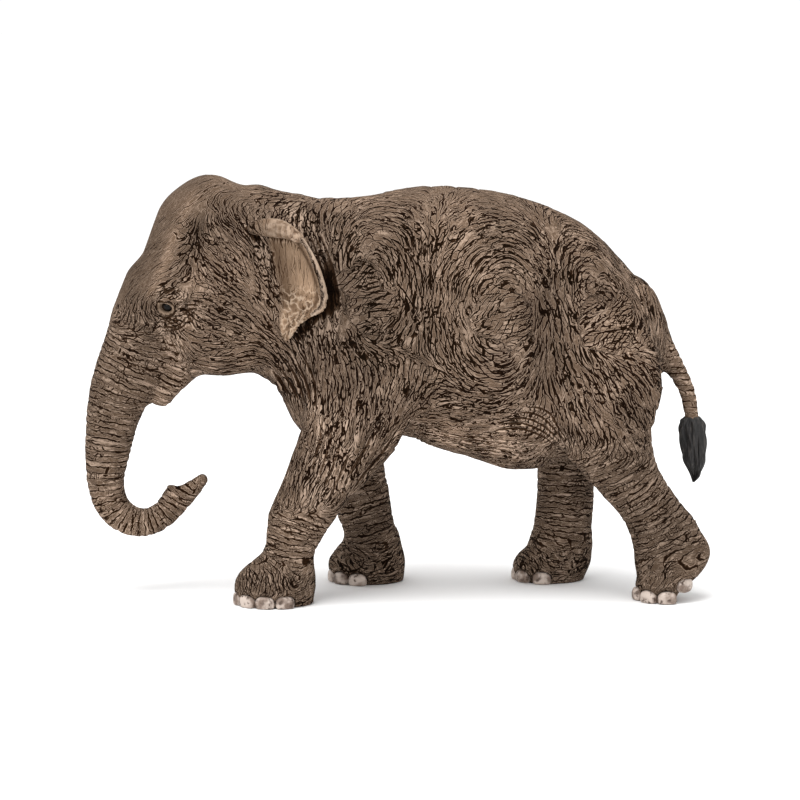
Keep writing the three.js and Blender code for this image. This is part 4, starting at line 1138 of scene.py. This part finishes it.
PAINT = {name: linear(*colour) for name, colour in dict(
    wash=(18, 8, 2), shade=(44, 27, 14), brown=(74, 57, 43), stone=(90, 73, 59), pale=(170, 148, 130),
    lid=(136, 116, 98), ear_slope=(104, 80, 60), ear_ridge=(168, 143, 120), ear_top=(146, 121, 98),
    ear_hollow=(52, 33, 19), ear_rim=(178, 158, 140), band_dark=(104, 84, 68), band_pale=(158, 138, 120),
    lobe_pit=(84, 62, 44), lobe_ridge=(190, 168, 146), nail_stain=(112, 94, 82), nail_cream=(186, 171, 160),
    nail_pit=(70, 52, 40), eye_black=(8, 7, 6), eye_brown=(34, 24, 17),
    hair_groove=(8, 6, 5), hair=(23, 20, 19), hair_ridge=(70, 64, 60)).items()}
STROKE_CELLS = (7.2, 6.2, 8.2)  # mm across
STROKE_LAYERS = [  # which cells, mm between rows, mm long, mm of half width, which number turns the rows
    (0, 1.8, 8.0, 0.135, 0), (1, 1.6, 7.0, 0.125, 0), (2, 2.0, 9.0, 0.145, 0),
    (0, 1.5, 6.0, 0.11, 2), (1, 1.2, 5.0, 0.095, 2), (2, 1.4, 6.0, 0.1, 2),
]
RINGS = dict(apart=1.25, seed=83.0, least=0.16, most=0.52, sway=0.9)
BRICKS = dict(apart=0.95, long=1.9, width=0.15, pick=1, across=True)
print("paints:", len(PAINT), "stroke layers:", len(STROKE_LAYERS))


# %% The height pattern
def hide_height(t, rest, stray):
    """The height that the paint follows, from 0 in a crease to 1 on a ridge, and the relief of the fine
    strokes alone: 1 less the deepest of the strokes, rings, bricks, pressed cuts and folds, less a share
    of the hollow as wash and painted shade, with a little grain."""
    comb, rings = t.attribute("comb", "Vector"), t.attribute("rings")
    fineness, flow_depth = t.attribute("fineness"), t.attribute("flow_depth")
    ring_depth = t.attribute("ring_depth")
    middled = t.vector("SUBTRACT", t.noise(rest, 0.35, 1.0, "Color"), (0.5, 0.5, 0.5))
    bend = t.vector("SCALE", middled, scale=0.6)
    cells = [bundled(t, rest, comb, fineness, bend, size, seed)
             for seed, size in enumerate(STROKE_CELLS, 1)]
    layers = [drawn_strokes(t, cells[which], stray, *layer) for which, *layer in STROKE_LAYERS]
    level = layers[0]
    for layer in layers[1:]:
        level = t.math("MAXIMUM", level, layer)
    level = t.math("SUBTRACT", level, t.ramp(flow_depth, 0.0, 1.0, 0.8, 0.0, False))
    fine = t.ramp(level, -1.1, 0.5, 0.0, 1.0, False)
    relief = t.ramp(level, -0.2, 0.8, 1.0, 0.0, False)
    ring = t.math("MULTIPLY", creases(t, rest, rings, **RINGS), ring_depth)
    bricks = t.ramp(drawn_strokes(t, cells[1], stray, **BRICKS), -0.3, 0.5, 0.0, 0.85, False)
    fine = t.math("MAXIMUM", fine, t.math("MAXIMUM", ring, t.math("MULTIPLY", bricks, ring_depth)))
    low = t.math("MAXIMUM", fine, t.math("MAXIMUM", t.attribute("cut"), t.attribute("fold")))
    # Hollow places are darkened: the wash, and painted shade where skin is overhung.
    wash_and_shade = t.ramp(t.attribute("hollow"), 0.4, 1.0, 0.0, 0.6)
    height = t.math("SUBTRACT", t.math("SUBTRACT", 1.0, low), wash_and_shade)
    grain = t.math("SUBTRACT", t.noise(rest, 1.8, 3.0), 0.5)
    return t.math("ADD", height, t.math("MULTIPLY", grain, 0.3)), relief


# %% The ear's paint
def ear_colour(t, rest, height):
    """The ear's paler colours over the same height, with its dark hollow, pale rim, mottled band and, on
    the lobe, pits and ridges where a slow noise is near its middle value."""
    def over(under, share, strength, colour):
        """A colour laid over another where a share is high."""
        return t.mix(t.math("MULTIPLY", share, strength), under, colour)

    paint = t.colours(height, [(0.0, PAINT["shade"]), (0.45, PAINT["ear_slope"]), (0.8, PAINT["ear_ridge"]),
                               (1.0, PAINT["ear_top"])])
    paint = over(paint, t.attribute("concha"), 0.85, PAINT["ear_hollow"])
    paint = over(paint, t.attribute("rim"), 0.8, PAINT["ear_rim"])
    mottled = t.ramp(t.noise(rest, 0.9, 2.0), 0.35, 0.65, 0.0, 1.0)
    band = t.mix(mottled, PAINT["band_dark"], PAINT["band_pale"])
    paint = over(paint, t.attribute("fold_band"), 0.85, band)
    wrinkled = t.math("ABSOLUTE", t.math("SUBTRACT", t.noise(rest, 0.55, 1.0), 0.5))
    pits = t.math("MULTIPLY", t.ramp(wrinkled, 0.08, 0.16), t.attribute("lobe"))
    ridges = t.math("MULTIPLY", t.ramp(wrinkled, 0.07, 0.0), t.attribute("lobe"))
    paint = over(paint, pits, 0.55, PAINT["lobe_pit"])
    return over(paint, ridges, 0.75, PAINT["lobe_ridge"])


# %% The hide's material
def hide_material():
    """Wash, brown and dry brush by the height, the ear and the lids in their own colours, and all of it
    dimmed or lightened by the tones, partly paint and partly painted shade and light, and by slow patches."""
    made, t, shader = material("hide_paint", 0.8)
    rest = t.attribute("rest", "Vector")
    height, relief = hide_height(t, rest, t.attribute("stray"))
    paint = t.colours(height, [(0.0, PAINT["wash"]), (0.35, PAINT["shade"]), (0.6, PAINT["brown"]),
                               (0.78, PAINT["pale"]), (1.0, PAINT["stone"])])
    paint = t.mix(t.math("MULTIPLY", t.attribute("ear"), 0.9), paint, ear_colour(t, rest, height))
    paint = t.mix(t.math("MULTIPLY", t.attribute("lid"), 0.8), paint, PAINT["lid"])
    patches = t.ramp(t.noise(rest, 0.09, 3.0), 0.3, 0.7, 0.82, 1.15)
    # The tones carry painted shade and painted light as well as the paint's own tone.
    dim = t.math("MULTIPLY", patches, t.attribute("tone"))
    grey = t.node("ShaderNodeCombineColor", {0: dim, 1: dim, 2: dim}).outputs[0]
    paint = t.mix(1.0, paint, grey, "MULTIPLY")
    bump = t.node("ShaderNodeBump", {"Height": relief, "Strength": 0.8, "Distance": 0.0002})
    t.tree.links.new(paint, shader.inputs["Base Color"])
    t.tree.links.new(bump.outputs[0], shader.inputs["Normal"])
    shader.inputs["Specular IOR Level"].default_value = 0.03
    return made


skin.data.materials.append(hide_material())
FLESH_PARTS = ("head", "lower", "neck", "trunk", "torso", "leg", "foot", "ear")
flesh = [n for n in frame["nodes"] if n.split("_")[0] in FLESH_PARTS]
flesh.append("tail")
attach(skin, "root")
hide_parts(*flesh)
print("the hide stands for", len(flesh), "solids")

# %% [markdown]
# ## Nails
# Each foot has painted nails, cream and pitted, that just touch the ground. One is a flattened ball, a
# little squared, and it is set round each pad by the same rule as the beds that are pressed for it.
# %% The nails' shape
NAIL_ROWS, NAIL_TURNS, SQUARENESS = 14, 28, 0.8
NAIL_FLOOR, NAIL_STEP = 0.06, 0.02  # mm: its lowest row's least height, and how much more each row keeps


def squared(v):
    """A sine or cosine raised to a power below one, with its sign kept, which swells a ball's sides."""
    return np.sign(v) * np.abs(v) ** SQUARENESS


def nail_points():
    """A squared ball of radius 1: the squared sine and cosine of its two angles, multiplied as for a
    sphere."""
    a = np.linspace(0, 2 * np.pi, NAIL_TURNS, endpoint=False)
    b = np.linspace(-np.pi / 2, np.pi / 2, NAIL_ROWS)[:, None]
    x = squared(np.cos(b)) * squared(np.cos(a))
    y = squared(np.cos(b)) * squared(np.sin(a))
    z = squared(np.sin(b)) * np.ones_like(a)
    return np.stack([x, y, z], -1)


def grid_faces(rows, turns):
    """Quads of a grid whose rows close on themselves."""
    i, j = np.meshgrid(np.arange(rows - 1), np.arange(turns), indexing="ij")
    k = (j + 1) % turns
    above = i + 1
    corners = [i * turns + j, i * turns + k, above * turns + k, above * turns + j]
    return np.stack(corners, -1).reshape(-1, 4)


print("faces of one nail:", len(grid_faces(NAIL_ROWS, NAIL_TURNS)))

# %% Every nail in its place
nail_grid = nail_points()
nail_at, nail_faces = [], []
for leg in legs.values():
    radii = np.array([leg["deep"], leg["wide"]])
    for out, height, turn in nail_places(leg):
        c, s = math.cos(math.radians(turn)), math.sin(math.radians(turn))
        p = nail_grid * [NAIL["thick"], NAIL["wide"], NAIL["tall"]]
        p = np.stack([p[..., 0] * c - p[..., 1] * s, p[..., 0] * s + p[..., 1] * c, p[..., 2]], -1)
        p += [*(leg["at"] + out * (radii - NAIL["sunk"])), NAIL["rise"] + height]
        least = NAIL_FLOOR + NAIL_STEP * np.arange(NAIL_ROWS)[:, None]
        p[..., 2] = np.maximum(p[..., 2], least)
        first = len(nail_at) * NAIL_ROWS * NAIL_TURNS
        nail_faces.append(grid_faces(NAIL_ROWS, NAIL_TURNS) + first)
        nail_at.append(p.reshape(-1, 3))
nails = new_object("nails", np.concatenate(nail_at), np.concatenate(nail_faces))
print("nails placed:", len(nail_at))


def tidy(obj):
    """Merges doubled vertices, such as those at a pole, and points every face outwards."""
    work = bmesh.new()
    work.from_mesh(obj.data)
    bmesh.ops.remove_doubles(work, verts=work.verts, dist=1e-6)
    bmesh.ops.dissolve_degenerate(work, edges=work.edges, dist=1e-7)
    bmesh.ops.recalc_face_normals(work, faces=work.faces)
    work.to_mesh(obj.data)
    work.free()
    obj.data.update()


tidy(nails)


# %% The nails' paint
def nail_material():
    """Cream with slow brown stains and finer dark pits, which the bump presses in."""
    made, t, shader = material("nail_paint", 0.55)
    at = t.node("ShaderNodeTexCoord").outputs["Object"]
    pits = t.ramp(t.noise(at, 1000.0, 3.0), 0.3, 0.48)
    stain = t.ramp(t.noise(at, 420.0, 3.0), 0.35, 0.6)
    paint = t.mix(stain, PAINT["nail_stain"], PAINT["nail_cream"])
    paint = t.mix(pits, PAINT["nail_pit"], paint)
    bump = t.node("ShaderNodeBump", {"Height": pits, "Strength": 0.8, "Distance": 0.00015})
    t.tree.links.new(paint, shader.inputs["Base Color"])
    t.tree.links.new(bump.outputs[0], shader.inputs["Normal"])
    return made


nails.data.materials.append(nail_material())
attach(nails, "root")
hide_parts(*(n for n in frame["nodes"] if n.startswith("nail_")))
print("nails:", len(nail_at))

# %% [markdown]
# ## Eyes
# The eye is a dab of glossy black-brown paint, so it catches the studio's lights as one small spot. A
# whole ball is set behind the slit of the lids, as only its front shows.
# %% Eyes
def ball(centre, radius, turns=32, rows=20):
    """A sphere from its two angles."""
    a = np.linspace(0, 2 * np.pi, turns, endpoint=False)
    b = np.linspace(-np.pi / 2, np.pi / 2, rows)[:, None]
    p = np.stack([np.cos(b) * np.cos(a), np.cos(b) * np.sin(a), np.sin(b) * np.ones_like(a)], -1)
    return (p * radius + centre).reshape(-1, 3), grid_faces(rows, turns)


def eye_material():
    """Nearly black gloss with a trace of brown."""
    made, t, shader = material("eye_paint", 0.12)
    at = t.node("ShaderNodeTexCoord").outputs["Object"]
    iris = t.ramp(t.noise(at, 900.0, 2.0), 0.35, 0.7)
    paint = t.mix(iris, PAINT["eye_black"], PAINT["eye_brown"])
    t.tree.links.new(paint, shader.inputs["Base Color"])
    shader.inputs["Specular IOR Level"].default_value = 0.12
    return made


eye_paint = eye_material()
for side, name in ((-1, "eye_left"), (1, "eye_right")):
    centre = EYE["at"] - EYE["out"] * (EYE["radius"] + 0.25)
    eye = new_object(name + "_ball", *ball(centre * [1, side, 1], EYE["radius"]))
    tidy(eye)
    eye.data.materials.append(eye_paint)
    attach(eye, "root")
    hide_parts(name)
print("eyes: 2, radius", EYE["radius"], "mm")

# %% [markdown]
# ## The tail's tuft
# The tuft is moulded as one lump with deep grooves for the hairs, painted charcoal. So it is a profile
# carried down the tail's end whose radius rises and falls round it as locks do.
# %% Tuft
TUFT_ROWS, TUFT_TURNS = 90, 220
tuft_path = [
    [63.4, 0, 37.6, 1.5, 1.5], [63.3, 0, 36.6, 2.5, 2], [63.4, 0, 34.5, 2.9, 2.4],
    [63.9, 0, 31.1, 2.7, 2.4], [64.1, 0, 27.8, 2.3, 2.1], [64.2, 0, 25.7, 1.3, 1.3],
    [63.9, 0, 24.3, 0.3, 0.3],
]


def tuft_points(turns, rows):
    """Round the path at each height: an ellipse whose radius is cut by sines of the angle, more where a
    second, slower sine is low, so that the locks differ and some end early."""
    t = np.linspace(0, 1, rows)
    at = through(tuft_path, t)
    a = np.linspace(0, 2 * np.pi, turns, endpoint=False)
    twist = a[None, :] + 0.35 * np.sin(3.1 * t)[:, None]
    locks = np.abs(np.sin(6.5 * twist + 0.6 * np.sin(3 * twist + 4 * t[:, None])))
    hairs = np.abs(np.sin(19 * twist + 2 * np.sin(5 * t[:, None] + 2 * twist)))
    radius = 1 - 0.16 * (1 - locks) ** 2 * ramp(t, 0.02, 0.25)[:, None] - 0.07 * (1 - hairs) ** 2
    radius = radius + 0.09 * np.sin(5 * a + 9 * t[:, None]) + 0.05 * np.sin(9 * a - 17 * t[:, None])
    x = at[:, :1] + at[:, 3:4] * radius * np.cos(a)
    y = at[:, 1:2] + at[:, 4:5] * radius * np.sin(a)
    z = at[:, 2:3] + 1.6 * (locks - 0.7) * ramp(t, 0.55, 0.9)[:, None]
    return np.stack([x, y, z + 0 * a], -1).reshape(-1, 3), grid_faces(rows, turns)


tuft = new_object("tuft", *tuft_points(TUFT_TURNS, TUFT_ROWS))


def capped(obj, turns):
    """Closes the two ends of a carried profile with one face each."""
    work = bmesh.new()
    work.from_mesh(obj.data)
    work.verts.ensure_lookup_table()
    work.faces.new(work.verts[:turns][::-1])
    work.faces.new(work.verts[-turns:])
    work.to_mesh(obj.data)
    work.free()


capped(tuft, TUFT_TURNS)
tidy(tuft)
print("tuft:", len(tuft.data.polygons), "faces")


# %% The tuft's paint
def tuft_material():
    """Charcoal with paler hairs: a noise drawn out along the tail."""
    made, t, shader = material("hair_paint", 0.6)
    at = t.node("ShaderNodeTexCoord").outputs["Object"]
    drawn = t.vector("MULTIPLY", at, (1.0, 1.0, 0.18))
    strand = t.noise(drawn, 2600.0, 3.0)
    paint = t.colours(strand, [(0.3, PAINT["hair_groove"]), (0.52, PAINT["hair"]),
                               (0.76, PAINT["hair_ridge"])])
    bump = t.node("ShaderNodeBump", {"Height": strand, "Strength": 0.7, "Distance": 0.0003})
    t.tree.links.new(paint, shader.inputs["Base Color"])
    t.tree.links.new(bump.outputs[0], shader.inputs["Normal"])
    return made


tuft.data.materials.append(tuft_material())
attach(tuft, "root")
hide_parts("tail_tuft")
print("tuft stands for:", "tail_tuft")

# %% [markdown]
# ## The studio
# The figure stands on a white floor that fades into a white room, with a large soft light overhead and a
# weaker one in front. The lens is long and a little above the floor, so that there is almost no
# perspective.
# %% Floor and room
FLOOR_REACH, FLOOR_WHITE, ROOM_LIGHT = 3000, 0.97, 1.04
floor_points = [[x * FLOOR_REACH, y * FLOOR_REACH, 0] for x, y in ((-1, -1), (1, -1), (1, 1), (-1, 1))]
floor = new_object("floor", floor_points, [[0, 1, 2, 3]])
floor_paint, _, shader = material("floor_white", 0.9)
shader.inputs["Base Color"].default_value = (FLOOR_WHITE, FLOOR_WHITE, FLOOR_WHITE, 1)
floor.data.materials.append(floor_paint)

world = bpy.data.worlds.new("studio")
bpy.context.scene.world = world
world.use_nodes = True
world.node_tree.nodes["Background"].inputs["Color"].default_value = (1.0, 1.0, 1.0, 1)
world.node_tree.nodes["Background"].inputs["Strength"].default_value = ROOM_LIGHT
bpy.context.scene.view_settings.view_transform = "Standard"
print("floor:", FLOOR_REACH * 2, "mm wide, room light", ROOM_LIGHT)


# %% Lights
def aimed(at, to):
    """The matrix of a light at one place that shines at another."""
    turn = (Vector(at) - Vector(to)).to_track_quat("Z", "Y")
    return Matrix.Translation(at) @ turn.to_matrix().to_4x4()


def soft_light(name, at, to, size, power):
    """A square area light at a place in metres, aimed at another."""
    lamp = bpy.data.lights.new(name, "AREA")
    lamp.shape, lamp.size, lamp.energy = "SQUARE", size, power
    obj = bpy.data.objects.new(name, lamp)
    bpy.context.scene.collection.objects.link(obj)
    obj.matrix_world = aimed(at, to)


LIT_PLACE = (0, 0, 0.05)
soft_light("overhead", (-0.1, -0.15, 0.75), LIT_PLACE, 0.5, 5)
soft_light("front", (-0.45, -0.7, 0.35), LIT_PLACE, 0.35, 1.5)

# %% Camera
YAW, PITCH, DISTANCE, LENS = math.radians(-3), math.radians(8), 0.8, 166.2
AIM_ASIDE, AIM_DEEP, AIM_HEIGHT = 0.0002166, 0.005742, 0.04086  # metres from the origin
level = Vector((-math.sin(YAW), math.cos(YAW), 0))
aside = Vector((math.cos(YAW), math.sin(YAW), 0))
target = AIM_ASIDE * aside + AIM_DEEP * level + Vector((0, 0, AIM_HEIGHT))
forward = level * math.cos(PITCH) - Vector((0, 0, math.sin(PITCH)))
camera = bpy.data.objects.new("camera", bpy.data.cameras.new("camera"))
bpy.context.scene.collection.objects.link(camera)
camera.data.lens, camera.data.sensor_width = LENS, 36
turn = (-forward).to_track_quat("Z", "Y").to_matrix().to_4x4()
camera.matrix_world = Matrix.Translation(target - DISTANCE * forward) @ turn
bpy.context.scene.camera = camera
print("camera at", [round(v, 4) for v in camera.location])

# %% The end
bpy.context.view_layer.update()
